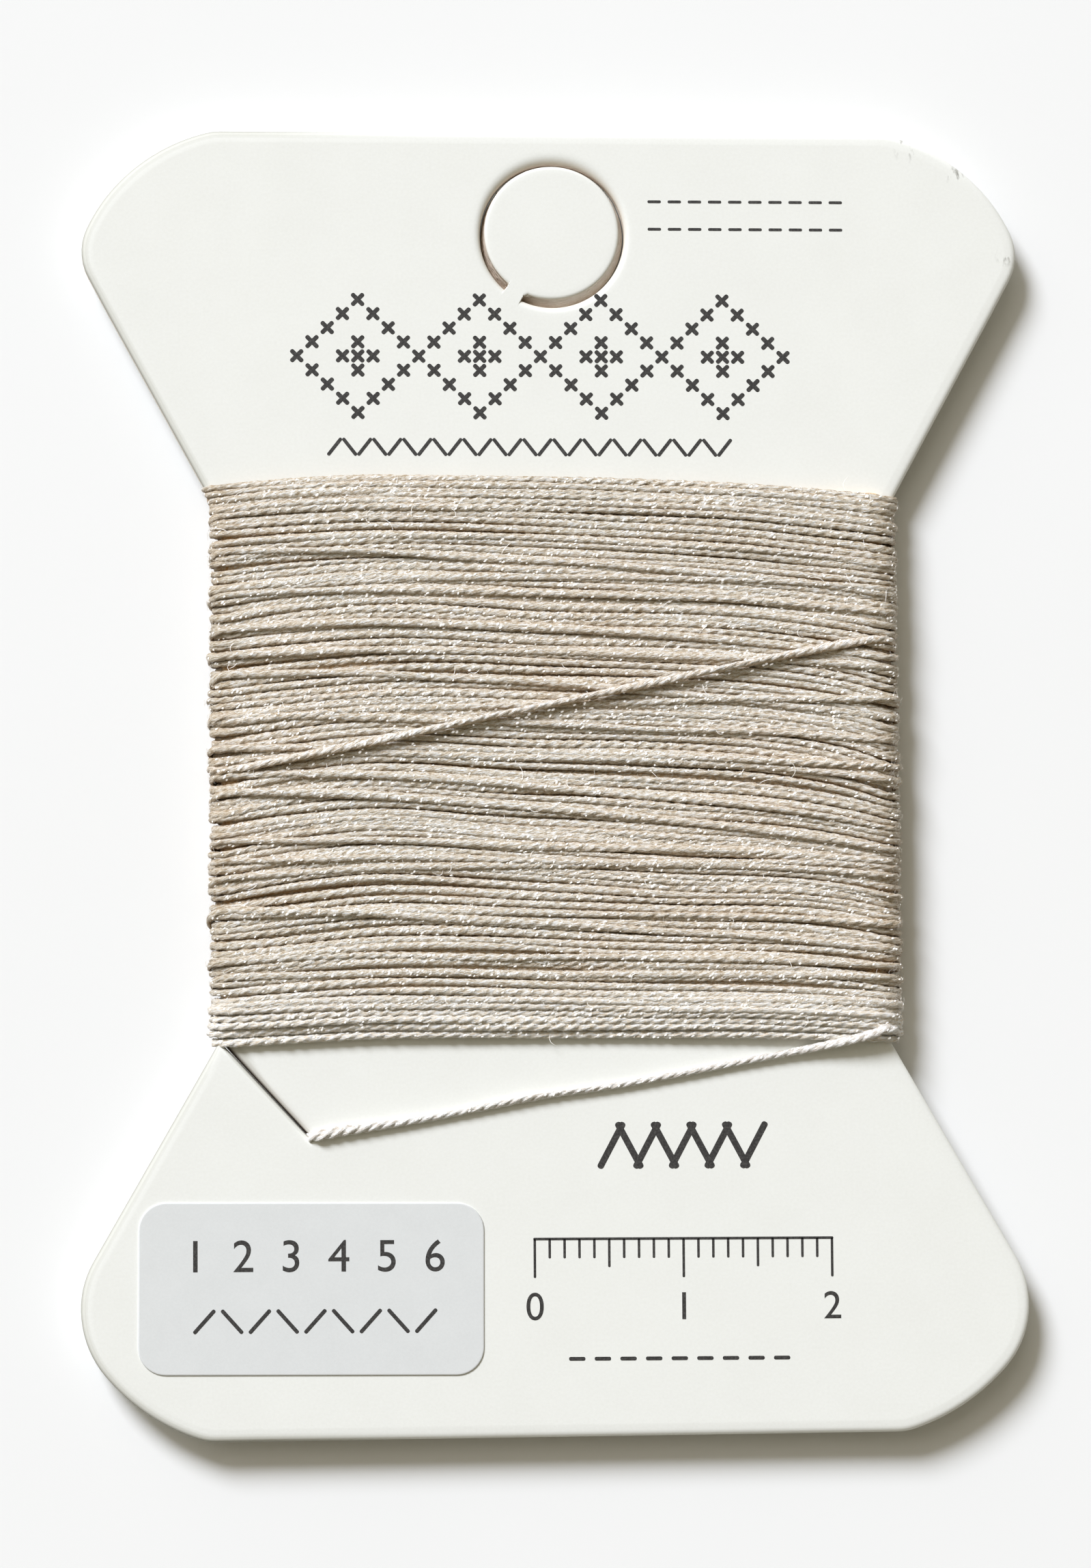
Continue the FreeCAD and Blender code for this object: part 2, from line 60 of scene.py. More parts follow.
LINER_THICK = 0.15
CORE_THICK = 0.70
BACK_Z = 1.308
CORE_Z = BACK_Z + LINER_THICK
FACE_LINER_Z = CORE_Z + CORE_THICK
FACE_Z = FACE_LINER_Z + LINER_THICK
BOARD_MIDDLE_Z = (BACK_Z + FACE_Z) / 2
EDGE_TURN_X = 21.58
FLOOR_CLEARANCE = 0.01
LABEL_THICK = 0.1

HOLE_CENTRE = (0.1, 36.95)
SLIT_END = (-16.4, -24.45)
SLIT_ANGLE = 132.8

FINISHING_ROUTE = [
    (-21.25, 18.68, 0.32), (-18.00, 18.68, 0.32), (17.50, 9.05, 0.32), (22.23, 8.70, 0.32),
    (23.14, 8.89, 1.16), (23.14, 9.08, 2.45), (22.23, 9.28, 3.37), (17.60, 8.45, 3.93),
    (-17.80, 1.00, 3.93), (-22.23, 0.17, 3.37), (-23.14, 0.37, 2.45), (-23.14, 0.56, 1.16),
    (-22.23, 0.75, 0.32), (-17.90, -0.75, 0.32), (17.70, -15.90, 0.32), (22.23, -17.65, 0.32),
    (23.14, -17.46, 1.16), (23.14, -17.27, 2.45), (22.23, -17.20, 3.45), (20.90, -17.74, 3.32),
    (19.00, -18.15, 2.98), (16.60, -18.62, 2.66), (11.50, -19.58, 2.59), (3.90, -21.02, 2.59),
    (-1.20, -21.66, 2.59), (-5.00, -22.42, 2.59), (-8.80, -23.16, 2.59), (-12.60, -23.70, 2.59),
    (-14.90, -24.00, 2.59), (-16.50, -24.30, 2.59), (-16.50, -24.30, 1.00), (-18.30, -24.60, 0.95),
    (-21.40, -24.92, 0.70), (-24.60, -24.45, 0.38),
]


class Body(Enum):
    """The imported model's moving bodies."""

    CARD = "card"
    HANG_DISC = "hang_disc"


class Slot(Enum):
    """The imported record's material slots."""

    LINER = "card_liner"
    CORE = "card_core"
    LABEL = "label_paper"
    THREAD = "thread"


class Part(Enum):
    """What a selection in edit mode is made of."""

    EDGE = "EDGE"
    FACE = "FACE"


def heading(degrees: float) -> Vector:
    """The level unit vector that points some degrees counterclockwise from +X."""
    way = math.radians(degrees)
    return Vector((math.cos(way), math.sin(way), 0))


def rise(value: float, none: float, full: float) -> float:
    """A share that goes from 0 to 1 as a value goes from one number to another."""
    return min(1.0, max(0.0, (value - none) / (full - none)))


def deselect_all() -> None:
    """Leave edit mode and select nothing."""
    if bpy.context.object and bpy.context.object.mode != "OBJECT":
        bpy.ops.object.mode_set(mode="OBJECT")
    bpy.ops.object.select_all(action="DESELECT")


def start_blank(name: str) -> Piece:
    """Make an object at the origin with an empty mesh and open it in edit mode.

    Args:
        name: The piece's name.

    Returns:
        The new object.
    """
    deselect_all()
    bpy.ops.mesh.primitive_plane_add(size=MM, location=(0, 0, 0))
    piece = bpy.context.object
    piece.name = piece.data.name = name
    bpy.ops.object.mode_set(mode="EDIT")
    bpy.ops.mesh.select_all(action="SELECT")
    bpy.ops.mesh.delete(type="VERT")
    return piece


def start_plate(name: str, place: Vector, size: Pair, corner: float, segments: int) -> Piece:
    """Lay a flat plate with rounded corners and leave it open in edit mode, all selected.

    Args:
        name: The piece's name.
        place: Its middle, in metres.
        size: Its length and width, in millimetres.
        corner: How far in from a corner the round starts.
        segments: How many strips make a round.

    Returns:
        The new object.
    """
    deselect_all()
    bpy.ops.mesh.primitive_plane_add(size=MM, location=place)
    piece = bpy.context.object
    piece.name = piece.data.name = name
    piece.scale = (*size, 1)
    bpy.ops.object.transform_apply(location=True, rotation=False, scale=True)
    bpy.ops.object.mode_set(mode="EDIT")
    bpy.ops.mesh.select_all(action="SELECT")
    bpy.ops.mesh.bevel(offset=corner * MM, segments=segments, affect="VERTICES", profile=0.5)
    bpy.ops.mesh.select_all(action="SELECT")
    return piece


def pick(piece: Piece, part: Part, test: Callable[[object], bool]) -> None:
    """Select in edit mode what passes a test.

    Args:
        piece: The object in edit mode.
        part: Whether edges or faces are tested.
        test: Says whether one of them is wanted.
    """
    bpy.ops.mesh.select_mode(type=part.value)
    bpy.ops.mesh.select_all(action="DESELECT")
    shape = bmesh.from_edit_mesh(piece.data)
    for one in shape.edges if part is Part.EDGE else shape.faces:
        if test(one):
            one.select_set(True)
    bmesh.update_edit_mesh(piece.data)


def extrude(height: float) -> None:
    """Raise the selected faces straight up by some millimetres, with walls below them."""
    bpy.ops.mesh.extrude_region_move(TRANSFORM_OT_translate={"value": (0, 0, height * MM)})


def inset(width: float, depth: float = 0.0) -> None:
    """Draw the selected faces in from their rim and out along their normals, in millimetres."""
    bpy.ops.mesh.inset(thickness=width * MM, depth=depth * MM, use_even_offset=True)


def turn_flat(degrees: float, centre: Sequence[float]) -> None:
    """Turn what is selected in edit mode about a point, counterclockwise seen from above."""
    bpy.ops.transform.rotate(
        value=-math.radians(degrees), orient_axis="Z", center_override=centre
    )


def move_points(piece: Piece, move: Callable[[float, float, float], Sequence[float]]) -> None:
    """Move the points of a mesh in edit mode.

    Args:
        piece: The object.
        move: Gives a point's new place for its old one, both in millimetres.
    """
    shape = bmesh.from_edit_mesh(piece.data)
    for point in shape.verts:
        point.co = [v * MM for v in move(*(v / MM for v in point.co))]
    bmesh.update_edit_mesh(piece.data)


def face_outwards() -> None:
    """Turn all faces of a mesh in edit mode outwards."""
    bpy.ops.mesh.select_all(action="SELECT")
    bpy.ops.mesh.normals_make_consistent(inside=False)


def shade(piece: Piece, degrees: float) -> None:
    """Leave edit mode and shade a piece smooth, except over sharp edges.

    Args:
        piece: The object.
        degrees: The angle over which an edge is sharp.
    """
    deselect_all()
    piece.select_set(True)
    bpy.context.view_layer.objects.active = piece
    bpy.ops.object.shade_smooth_by_angle(angle=math.radians(degrees))


def hand_over(
    piece: Piece, finish: Finish, body: Body, stands_for: Sequence[str] = ()
) -> None:
    """Give a piece its finish, tie it to its body and report it.

    Args:
        piece: The finished mesh object, at the origin.
        finish: Its material.
        body: The body that it moves with.
        stands_for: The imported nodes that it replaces.
    """
    deselect_all()
    piece.data.materials.clear()
    piece.data.materials.append(finish)
    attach(piece, body.value)
    if stands_for:
        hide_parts(*stands_for)
    LOG.info("%s: %d faces, on %s", piece.name, len(piece.data.polygons), body.value)


class CuttingRule:
    """Bends a cut line through a mesh in edit mode, as a die maker bends steel rule."""

    def __init__(self, x: float, y: float, way: float, step: float) -> None:
        """Set the line's first point.

        Args:
            x: Millimetres to the right.
            y: Millimetres up.
            way: Degrees counterclockwise from +X.
            step: The longest piece of the line, in millimetres.
        """
        self.place = Vector((x, y, 0))
        self.way = way
        self.step = step
        bpy.ops.mesh.select_mode(type="VERT")
        bpy.ops.mesh.primitive_plane_add(size=MM, location=self.place * MM)
        bpy.ops.mesh.merge(type="CENTER")

    def ahead(self, turn: float = 0.0) -> Vector:
        """The unit vector along the way, turned by some degrees."""
        return heading(self.way + turn)

    def line(self, length: float) -> None:
        """Cut straight ahead.

        Args:
            length: Millimetres.
        """
        count = max(1, math.ceil(length / self.step))
        move = self.ahead() * (length / count)
        for _ in range(count):
            bpy.ops.mesh.extrude_vertices_move(TRANSFORM_OT_translate={"value": move * MM})
        self.place = self.place + self.ahead() * length

    def arc(self, radius: float, angle: float) -> None:
        """Cut along an arc.

        Args:
            radius: Millimetres.
            angle: Degrees, to the left above zero and to the right below it.
        """
        side = 90 if angle > 0 else -90
        centre = self.place + self.ahead(side) * radius
        count = max(2, math.ceil(radius * math.radians(abs(angle)) / self.step))
        bpy.ops.mesh.spin(
            steps=count,
            dupli=False,
            angle=-math.radians(angle),
            center=centre * MM,
            axis=(0, 0, 1),
        )
        self.way += angle
        self.place = centre - self.ahead(side) * radius

    def turn(self, angle: float) -> None:
        """Turn on the spot, to the left above zero."""
        self.way += angle


def fill_cut_lines(piece: Piece, height: float) -> None:
    """Close the cut lines, fill the board between them, face up, and lift it.

    Args:
        piece: The object in edit mode, with its cut lines at z = 0.
        height: Millimetres.
    """
    bpy.ops.mesh.select_all(action="SELECT")
    bpy.ops.mesh.remove_doubles(threshold=0.002 * MM)
    bpy.ops.mesh.fill(use_beauty=True)
    shape = bmesh.from_edit_mesh(piece.data)
    for face in shape.faces:
        if face.normal.z < 0:
            face.normal_flip()
    bmesh.update_edit_mesh(piece.data)
    bpy.ops.mesh.select_all(action="SELECT")
    bpy.ops.transform.translate(value=(0, 0, height * MM))
    bpy.ops.mesh.select_mode(type="FACE")
    bpy.ops.mesh.select_all(action="SELECT")


def roll_over(width: float, drop: float, slope: Pair, hold: float, steps: int = 7) -> None:
    """Round the rim of the selected flat faces over, from low at the cut to level inside.

    Args:
        width: How far in from the cut the round reaches, in millimetres.
        drop: How far the cut lies below the round's top.
        slope: The width and rise of a gentle slope inside the round.
        hold: The width of a last level strip, which keeps the face's shading flat.
        steps: How many strips make the round.
    """
    for i in range(steps):
        first, last = math.radians(90 * i / steps), math.radians(90 * (i + 1) / steps)
        inset(
            width * (math.cos(first) - math.cos(last)), drop * (math.sin(last) - math.sin(first))
        )
    inset(*slope)
    inset(hold)


def wander(rng: np.random.Generator, rows: int, stations: int, smooth: int = 1) -> np.ndarray:
    """Seeded random rows, smoothed along each row, of about unit spread.

    Args:
        rng: The seeded generator.
        rows: How many rows.
        stations: How many values in a row.
        smooth: How many times each value is averaged with its neighbours.

    Returns:
        An array of rows by stations.
    """
    values = rng.standard_normal((rows, stations))
    for _ in range(smooth):
        padded = np.pad(values, ((0, 0), (1, 1)), mode="edge")
        values = 0.25 * padded[:, :-2] + 0.5 * padded[:, 1:-1] + 0.25 * padded[:, 2:]
    return values / values.std()


class NodeBoard:
    """A new material's node tree, with short ways to add and join nodes."""

    def __init__(self, name: str) -> None:
        """Start a material that has only its output.

        Args:
            name: The material's name.
        """
        self.material = bpy.data.materials.new(name)
        self.material.use_nodes = True
        self.tree = self.material.node_tree
        self.tree.nodes.clear()
        self.output = self.tree.nodes.new("ShaderNodeOutputMaterial")

    def add(self, kind: str, **settings: object) -> bpy.types.Node:
        """Add a node.

        Args:
            kind: The node's type, without its ShaderNode prefix.
            settings: Properties, or values of input sockets whose names match.

        Returns:
            The node.
        """
        node = self.tree.nodes.new("ShaderNode" + kind)
        for name, value in settings.items():
            titled = {s.name.lower(): s for s in node.inputs}
            if hasattr(node, name):
                setattr(node, name, value)
            else:
                titled[name.replace("_", " ")].default_value = value
        return node

    def join(self, source: Socket, target: Socket) -> None:
        """Link two sockets."""
        self.tree.links.new(source, target)

    def place(self) -> Socket:
        """The object's own coordinates, in metres."""
        return self.add("TexCoord").outputs["Object"]

    def axis(self, letter: str) -> Socket:
        """One of the object's own coordinates, in metres.

        Args:
            letter: The axis.

        Returns:
            The coordinate's socket.
        """
        node = self.add("SeparateXYZ")
        self.join(self.place(), node.inputs[0])
        return node.outputs[letter]

    def mapped(self, vector: Socket, **settings: Sequence[float]) -> Socket:
        """A vector that is scaled and turned, and then moved.

        Args:
            vector: The vector.
            settings: The mapping's scale, rotation or location.

        Returns:
            The new vector's socket.
        """
        node = self.add("Mapping")
        for name, value in settings.items():
            node.inputs[name.title()].default_value = value
        self.join(vector, node.inputs["Vector"])
        return node.outputs["Vector"]

    def noise(self, where: Socket, scale: float, detail: float = 2.0) -> Socket:
        """A noise texture's strength.

        Args:
            where: The coordinates.
            scale: How fine the pattern is.
            detail: How many finer octaves it has.

        Returns:
            The socket of the value, which averages a half.
        """
        node = self.add("TexNoise", scale=scale, detail=detail, roughness=0.6)
        self.join(where, node.inputs["Vector"])
        return node.outputs["Fac"]

    def ramp(self, value: Socket, stops: Sequence[float], colours: Sequence[Colour]) -> Socket:
        """A colour ramp.

        Args:
            value: What is looked up.
            stops: Places from 0 to 1.
            colours: The colour at each place.

        Returns:
            The colour's socket.
        """
        node = self.add("ValToRGB")
        bar = node.color_ramp.elements
        while len(bar) < len(stops):
            bar.new(0.5)
        for mark, place, colour in zip(bar, stops, colours):
            mark.position = place
            mark.color = (*colour, 1)
        self.join(value, node.inputs["Fac"])
        return node.outputs["Color"]

    def blend(
        self, share: Socket, under: Socket, over: Socket | Colour, mode: str = "MIX"
    ) -> Socket:
        """Lay one colour over another.

        Args:
            share: How much of the upper one shows.
            under: The lower colour.
            over: The upper colour.
            mode: The blend's type.

        Returns:
            The mixed colour's socket.
        """
        node = self.add("Mix", data_type="RGBA", blend_type=mode)
        factor, lower, upper = node.inputs[0], node.inputs[6], node.inputs[7]
        self.join(share, factor)
        self.join(under, lower)
        if isinstance(over, tuple):
            upper.default_value = (*over, 1)
        else:
            self.join(over, upper)
        return node.outputs[2]

    def tinted(self, colour: Socket, tints: Sequence[tuple[Socket, Colour]]) -> Socket:
        """A colour multiplied by some tints, one after another.

        Args:
            colour: The colour.
            tints: How much of each tint shows, and the tint.

        Returns:
            The new colour's socket.
        """
        for share, tint in tints:
            colour = self.blend(share, colour, tint, "MULTIPLY")
        return colour

    def sums(self, kind: str, one: Socket, other: Socket | float) -> Socket:
        """A math node's value.

        Args:
            kind: The operation.
            one: The first value's socket.
            other: The second value, a socket or a number.

        Returns:
            The result's socket.
        """
        node = self.add("Math", operation=kind)
        self.join(one, node.inputs[0])
        if isinstance(other, (int, float)):
            node.inputs[1].default_value = other
        else:
            self.join(other, node.inputs[1])
        return node.outputs[0]

    def times(self, one: Socket, other: Socket | float) -> Socket:
        """The product of two values."""
        return self.sums("MULTIPLY", one, other)

    def both(self, one: Socket, share: float, other: Socket) -> Socket:
        """A mean of two values, with a share of the first one."""
        return self.sums("ADD", self.times(one, share), self.times(other, 1 - share))

    def fade(self, value: Socket, span: Pair) -> Socket:
        """A share that rises from 0 to 1 as a value goes from one number to another.

        Args:
            value: What is looked up.
            span: Where the share is 0, and where it is 1.

        Returns:
            The share's socket.
        """
        node = self.add("MapRange", clamp=True)
        self.join(value, node.inputs["Value"])
        node.inputs["From Min"].default_value, node.inputs["From Max"].default_value = span
        return node.outputs[0]

    def reach(self, length: Socket, span: Pair) -> Socket:
        """A share that rises from 0 to 1 as a length goes over a span in millimetres."""
        return self.fade(length, (span[0] * MM, span[1] * MM))

    def level(self, letter: str, span: Pair) -> Socket:
        """A share that rises from 0 to 1 along one axis, over a span in millimetres."""
        return self.reach(self.axis(letter), span)

    def near(self, centre: Pair, span: Pair) -> Socket:
        """A share that rises towards a point of the card.

        Args:
            centre: The point, in millimetres.
            span: The distances from it at which the share is 0 and 1.

        Returns:
            The share's socket.
        """
        back = [-v * MM for v in centre] + [0]
        away = self.add("VectorMath", operation="LENGTH")
        self.join(self.mapped(self.place(), location=back, scale=(1, 1, 0)), away.inputs[0])
        return self.reach(away.outputs["Value"], span)

    def slit_axes(self) -> tuple[Socket, Socket]:
        """The distances along the card's slit, from its end, and across it, in metres.

        Returns:
            Both distances' sockets.
        """
        centred = self.mapped(self.place(), location=[-v * MM for v in SLIT_END] + [0])
        split = self.add("SeparateXYZ")
        turned = self.mapped(centred, rotation=(0, 0, -math.radians(SLIT_ANGLE)))
        self.join(turned, split.inputs[0])
        return split.outputs["X"], split.outputs["Y"]

    def slit_walls(self, beside: Pair = (0.34, 0.12), end: Pair = (-0.3, 0.1)) -> Socket:
        """A share that is 1 at the slit's walls.

        Args:
            beside: The distances beside the slit's middle at which the share is 0 and 1.
            end: The places before the slit's end at which it is 0 and 1.

        Returns:
            The share's socket.
        """
        along, across = self.slit_axes()
        walls = self.reach(self.sums("ABSOLUTE", across, 0), beside)
        return self.times(walls, self.reach(along, end))

    def relief(self, height: Socket, depth: float) -> Socket:
        """A bump from a height pattern.

        Args:
            height: The pattern.
            depth: Its depth in millimetres.

        Returns:
            The normal's socket.
        """
        node = self.add("Bump", strength=1.0, distance=depth * MM)
        self.join(height, node.inputs["Height"])
        return node.outputs["Normal"]

    def surface(self, colour: Socket, normal: Socket, **fixed: object) -> Finish:
        """Close the material with a surface shader.

        Args:
            colour: The base colour.
            normal: The relief.
            fixed: Values set straight on the shader's sockets.

        Returns:
            The material.
        """
        shader = self.add("BsdfPrincipled", **fixed)
        self.join(colour, shader.inputs["Base Color"])
        self.join(normal, shader.inputs["Normal"])
        self.join(shader.outputs["BSDF"], self.output.inputs["Surface"])
        return self.material


@dataclass(frozen=True)
class LinerPaper:
    """Smooth white paper that faces the board, grey on its cut edges, with painted shade at the
    hole's cut edge and rolled rim, in and beside the slit, and on the left rims.
    """

    name: str = "liner_paper"
    fibre: Colour = (0.866, 0.871, 0.822)
    white: Colour = (0.908, 0.916, 0.870)
    cut: Colour = (0.60, 0.58, 0.55)
    bruise: Colour = (0.55, 0.44, 0.35)
    stain: Colour = (0.86, 0.79, 0.72)
    rubbed: Colour = (0.82, 0.815, 0.79)
    worn: Colour = (0.52, 0.51, 0.48)
    crushed: Colour = (0.84, 0.80, 0.78)
    scuff: Colour = (0.40, 0.39, 0.37)
    gash: Colour = (0.20, 0.14, 0.11)
    scuffed: tuple[Triple, ...] = (
        (24.5, 43.25, 1.2), (27.8, 41.3, 0.8), (31.2, 35.7, 0.8), (-31.3, 36.8, 0.4),
    )
    front_z: Pair = (1.43, 1.50)
    cut_z: Pair = (2.10, 1.88)
    slit_z: Pair = (2.22, 2.02)
    rolled_z: Pair = (2.285, 2.10)
    rubbed_z: Pair = (2.286, 2.262)
    worn_z: Pair = (2.23, 2.10)
    left_x: Pair = (-8.0, -20.0)
    hole_ring: Pair = (6.2, 5.7)

    def scuffs(self, board: NodeBoard) -> Socket:
        """How much the paper is scuffed, in streaks at a few places on the head's rim.

        Args:
            board: The material's nodes.

        Returns:
            The share's socket.
        """
        streaks = board.noise(board.mapped(board.place(), scale=(1.0, 0.35, 1.0)), 2300.0, 3.0)
        spots = [board.near((x, y), (size, 0.2)) for x, y, size in self.scuffed]
        places = spots[0]
        for spot in spots[1:]:
            places = board.sums("MAXIMUM", places, spot)
        return board.times(board.fade(streaks, (0.55, 0.66)), places)

    def slit_lip(self, board: NodeBoard) -> Socket:
        """How much painted shade lies along the slit's upper lip.

        Args:
            board: The material's nodes.

        Returns:
            The share's socket.
        """
        along, across = board.slit_axes()
        lip = board.times(board.reach(across, (-0.62, -0.10)), board.reach(across, (0.05, 0.0)))
        return board.times(board.sums("POWER", lip, 1.6), board.reach(along, (-0.2, 0.6)))

    def mix(self) -> Finish:
        """Build the material.

        Returns:
            The material.
        """
        board = NodeBoard(self.name)
        grain = board.noise(board.place(), 5200.0, 4.0)
        cloud = board.noise(board.place(), 260.0, 3.0)
        clean = board.ramp(
            board.both(cloud, 0.35, grain), (0.30, 0.62), (self.fibre, self.white)
        )
        hole = board.near(HOLE_CENTRE, self.hole_ring)
        left = board.level("X", self.left_x)
        front = board.level("Z", self.front_z)
        torn = board.times(board.level("Z", self.cut_z), front)
        used = board.tinted(
            clean,
            (
                # Painted shade along the slit's upper lip.
                (self.slit_lip(board), self.crushed),
                (self.scuffs(board), self.scuff),
                # Painted shade: the hole's rolled rim is tinted warmer and darker, as the shaded
                # slope of the roll.
                (board.times(board.level("Z", self.rolled_z), hole), self.stain),
                # Painted shade: the rolled rims on the card's left side are greyed, lightly at the
                # top of the roll and more further down.
                (board.times(board.level("Z", self.rubbed_z), left), self.rubbed),
                (board.times(board.level("Z", self.worn_z), left), self.worn),
            ),
        )
        paper = board.blend(front, clean, used)
        paper = board.blend(torn, paper, self.cut)
        # Painted shade: the paper's cut edge round the hole is darkened where the narrow gap lies
        # in shade.
        paper = board.blend(board.times(torn, hole), paper, self.bruise)
        # Painted shade: the paper's walls in the narrow slit are darkened.
        slit = board.times(board.slit_walls(), board.level("Z", self.slit_z))
        paper = board.tinted(paper, ((slit, self.gash),))
        return board.surface(paper, board.relief(grain, 0.0035), roughness=0.62, ior=1.45)


@dataclass(frozen=True)
class PulpBoard:
    """The beige pulp core, torn into short level fibres where the die cut it, with painted shade
    low on its walls, left of the hole and in the slit.
    """

    name: str = "pulp_board"
    dark: Colour = (0.86, 0.80, 0.73)
    light: Colour = (0.99, 0.96, 0.92)
    # Painted shade: the tint of the walls' lower parts, deep in the cuts.
    depth: Colour = (0.88, 0.79, 0.69)
    soiled: Colour = (0.60, 0.53, 0.46)
    gash: Colour = (0.20, 0.14, 0.11)
    low_z: Pair = (1.85, 1.35)
    left_x: Pair = (0.5, -2.5)
    hole_ring: Pair = (7.0, 6.0)

    def mix(self) -> Finish:
        """Build the material.

        Returns:
            The material.
        """
        board = NodeBoard(self.name)
        fibres = board.noise(board.mapped(board.place(), scale=(1.0, 1.0, 5.0)), 3400.0, 5.0)
        both = board.both(fibres, 0.7, board.noise(board.place(), 1500.0, 2.0))
        left = board.times(
            board.level("X", self.left_x), board.near(HOLE_CENTRE, self.hole_ring)
        )
        colour = board.tinted(
            board.ramp(both, (0.36, 0.62), (self.dark, self.light)),
            (
                # Painted shade, darker and browner deeper down the cut walls.
                (board.level("Z", self.low_z), self.depth),
                # Painted shade: the pulp walls on the hole's left side are darkened.
                (left, self.soiled),
                # Painted shade: the pulp's walls in the narrow slit are darkened.
                (board.slit_walls(), self.gash),
            ),
        )
        return board.surface(colour, board.relief(both, 0.05), roughness=0.9)


@dataclass(frozen=True)
class LabelPaper:
    """Matt cool-white label paper."""

    name: str = "label_paper"
    shade: Colour = (0.735, 0.752, 0.745)
    white: Colour = (0.775, 0.792, 0.785)

    def mix(self) -> Finish:
        """Build the material.

        Returns:
            The material.
        """
        board = NodeBoard(self.name)
        grain = board.noise(board.place(), 6500.0, 4.0)
        both = board.both(grain, 0.6, board.noise(board.place(), 420.0, 2.0))
        colour = board.ramp(both, (0.32, 0.64), (self.shade, self.white))
        return board.surface(colour, board.relief(grain, 0.004), roughness=0.7)


@dataclass(frozen=True)
class GlitterThread:
    """Soft beige thread whose fibres follow its twist, browner with painted shade where it dips
    between strands and near the card's edges, and lighter with painted light low on the card.
    """

    name: str = "glitter_thread"
    stops: Triple = (0.40, 0.49, 0.575)
    deep: Colour = (0.45, 0.345, 0.22)
    body: Colour = (0.785, 0.71, 0.58)
    crest: Colour = (1.0, 1.0, 0.99)
    # Painted shade between strands.
    dip: Colour = (0.72, 0.57, 0.39)
    rosy: Colour = (1.0, 0.975, 0.955)
    pulled: Colour = (0.89, 0.85, 0.79)
    handled: Colour = (0.88, 0.87, 0.85)
    behind: Colour = (1.0, 1.0, 1.0)
    bleached: tuple[Colour, Colour, Colour] = (
        (0.80, 0.67, 0.50), (1.0, 0.94, 0.83), (1.0, 1.0, 1.0),
    )
    bleached_y: Pair = (-13.8, -17.0)
    pulled_x: Pair = (21.3, 22.7)
    handled_x: Pair = (-20.8, -22.4)
    behind_z: Pair = (1.4, 1.0)
    grain: Pair = (2.3, 1.05)
    fibre: Pair = (6.5, 0.36)

    def pattern(self, board: NodeBoard) -> Socket:
        """Short tufts crossed by finer fibres, both along the thread's own lay.

        Args:
            board: The material's nodes.

        Returns:
            The pattern's socket.
        """
        lay = board.add("Attribute", attribute_name="fibre_lay").outputs["Vector"]
        tufts, fibres = (
            board.noise(board.mapped(lay, scale=(1.0, 1.0, along)), across, 3.0)
            for across, along in (self.grain, self.fibre)
        )
        return board.both(tufts, 0.58, fibres)

    def mix(self) -> Finish:
        """Build the material.

        Returns:
            The material.
        """
        board = NodeBoard(self.name)
        both = self.pattern(board)
        warm = board.noise(board.place(), 110.0, 2.0)
        facing = board.add("Attribute", attribute_name="crest").outputs["Fac"]
        edge = board.reach(board.sums("ABSOLUTE", board.axis("X"), 0), self.pulled_x)
        colour = board.tinted(
            board.ramp(both, self.stops, (self.deep, self.body, self.crest)),
            (
                (board.fade(warm, (0.45, 0.62)), self.rosy),
                # Painted shade: browner on the sides that face into the winding, between strands.
                (board.fade(facing, (0.93, 0.35)), self.dip),
                # Painted shade near both edges of the card, where the turns bend round.
                (edge, self.pulled),
                # More painted shade at the left edge.
                (board.level("X", self.handled_x), self.handled),
            ),
        )
        # Painted light: lighter tones low on the card, for the lowest turns and the tail.
        tail = board.level("Y", self.bleached_y)
        colour = board.blend(tail, colour, board.ramp(both, self.stops, self.bleached))
        # For the under layer, tones its painted light down, darker and cooler, on the card's back.
        colour = board.tinted(colour, ((board.level("Z", self.behind_z), self.behind),))
        return board.surface(
            colour,
            board.relief(both, 0.16),
            roughness=0.55,
            sheen_weight=0.2,
            sheen_roughness=0.4,
        )


@dataclass(frozen=True)
class TwoTone:
    """A plain finish: two close tones in a cloud, its relief, and for foil a faint painted glint, a
    glow from emission.
    """

    name: str
    tones: tuple[Colour, Colour]
    stops: Pair
    scale: float
    detail: float
    depth: float
    roughness: float
    glint: float = 0.0

    def mix(self) -> Finish:
        """Build the material.

        Returns:
            The material.
        """
        board = NodeBoard(self.name)
        cloud = board.noise(board.place(), self.scale, self.detail)
        colour = board.ramp(cloud, self.stops, self.tones)
        fixed = {"roughness": self.roughness}
        # Painted glint: foil glows faintly, though it is no lamp.
        if self.glint:
            fixed |= {"emission_color": (1.0, 0.99, 0.96, 1.0), "emission_strength": self.glint}
        return board.surface(colour, board.relief(cloud, self.depth), **fixed)


PRINT_INK = TwoTone(
    "print_ink", ((0.028, 0.026, 0.025), (0.075, 0.072, 0.068)),
    (0.42, 0.70), scale=7000.0, detail=4.0, depth=0.003, roughness=0.55,
)
LOOSE_FIBRE = TwoTone(
    "loose_fibre", ((0.80, 0.73, 0.63), (0.93, 0.90, 0.84)),
    (0.42, 0.58), scale=700.0, detail=2.0, depth=0.002, roughness=0.5,
)
BRIGHT_FILAMENT = TwoTone(
    "bright_filament", ((0.93, 0.91, 0.87), (0.99, 0.985, 0.97)),
    (0.40, 0.60), scale=2400.0, detail=2.0, depth=0.004, roughness=0.3, glint=0.45,
)
STUDIO_FLOOR = TwoTone(
    "studio_floor", ((0.940, 0.945, 0.937), (0.950, 0.955, 0.948)),
    (0.3, 0.7), scale=30.0, detail=2.0, depth=0.001, roughness=0.9,
)


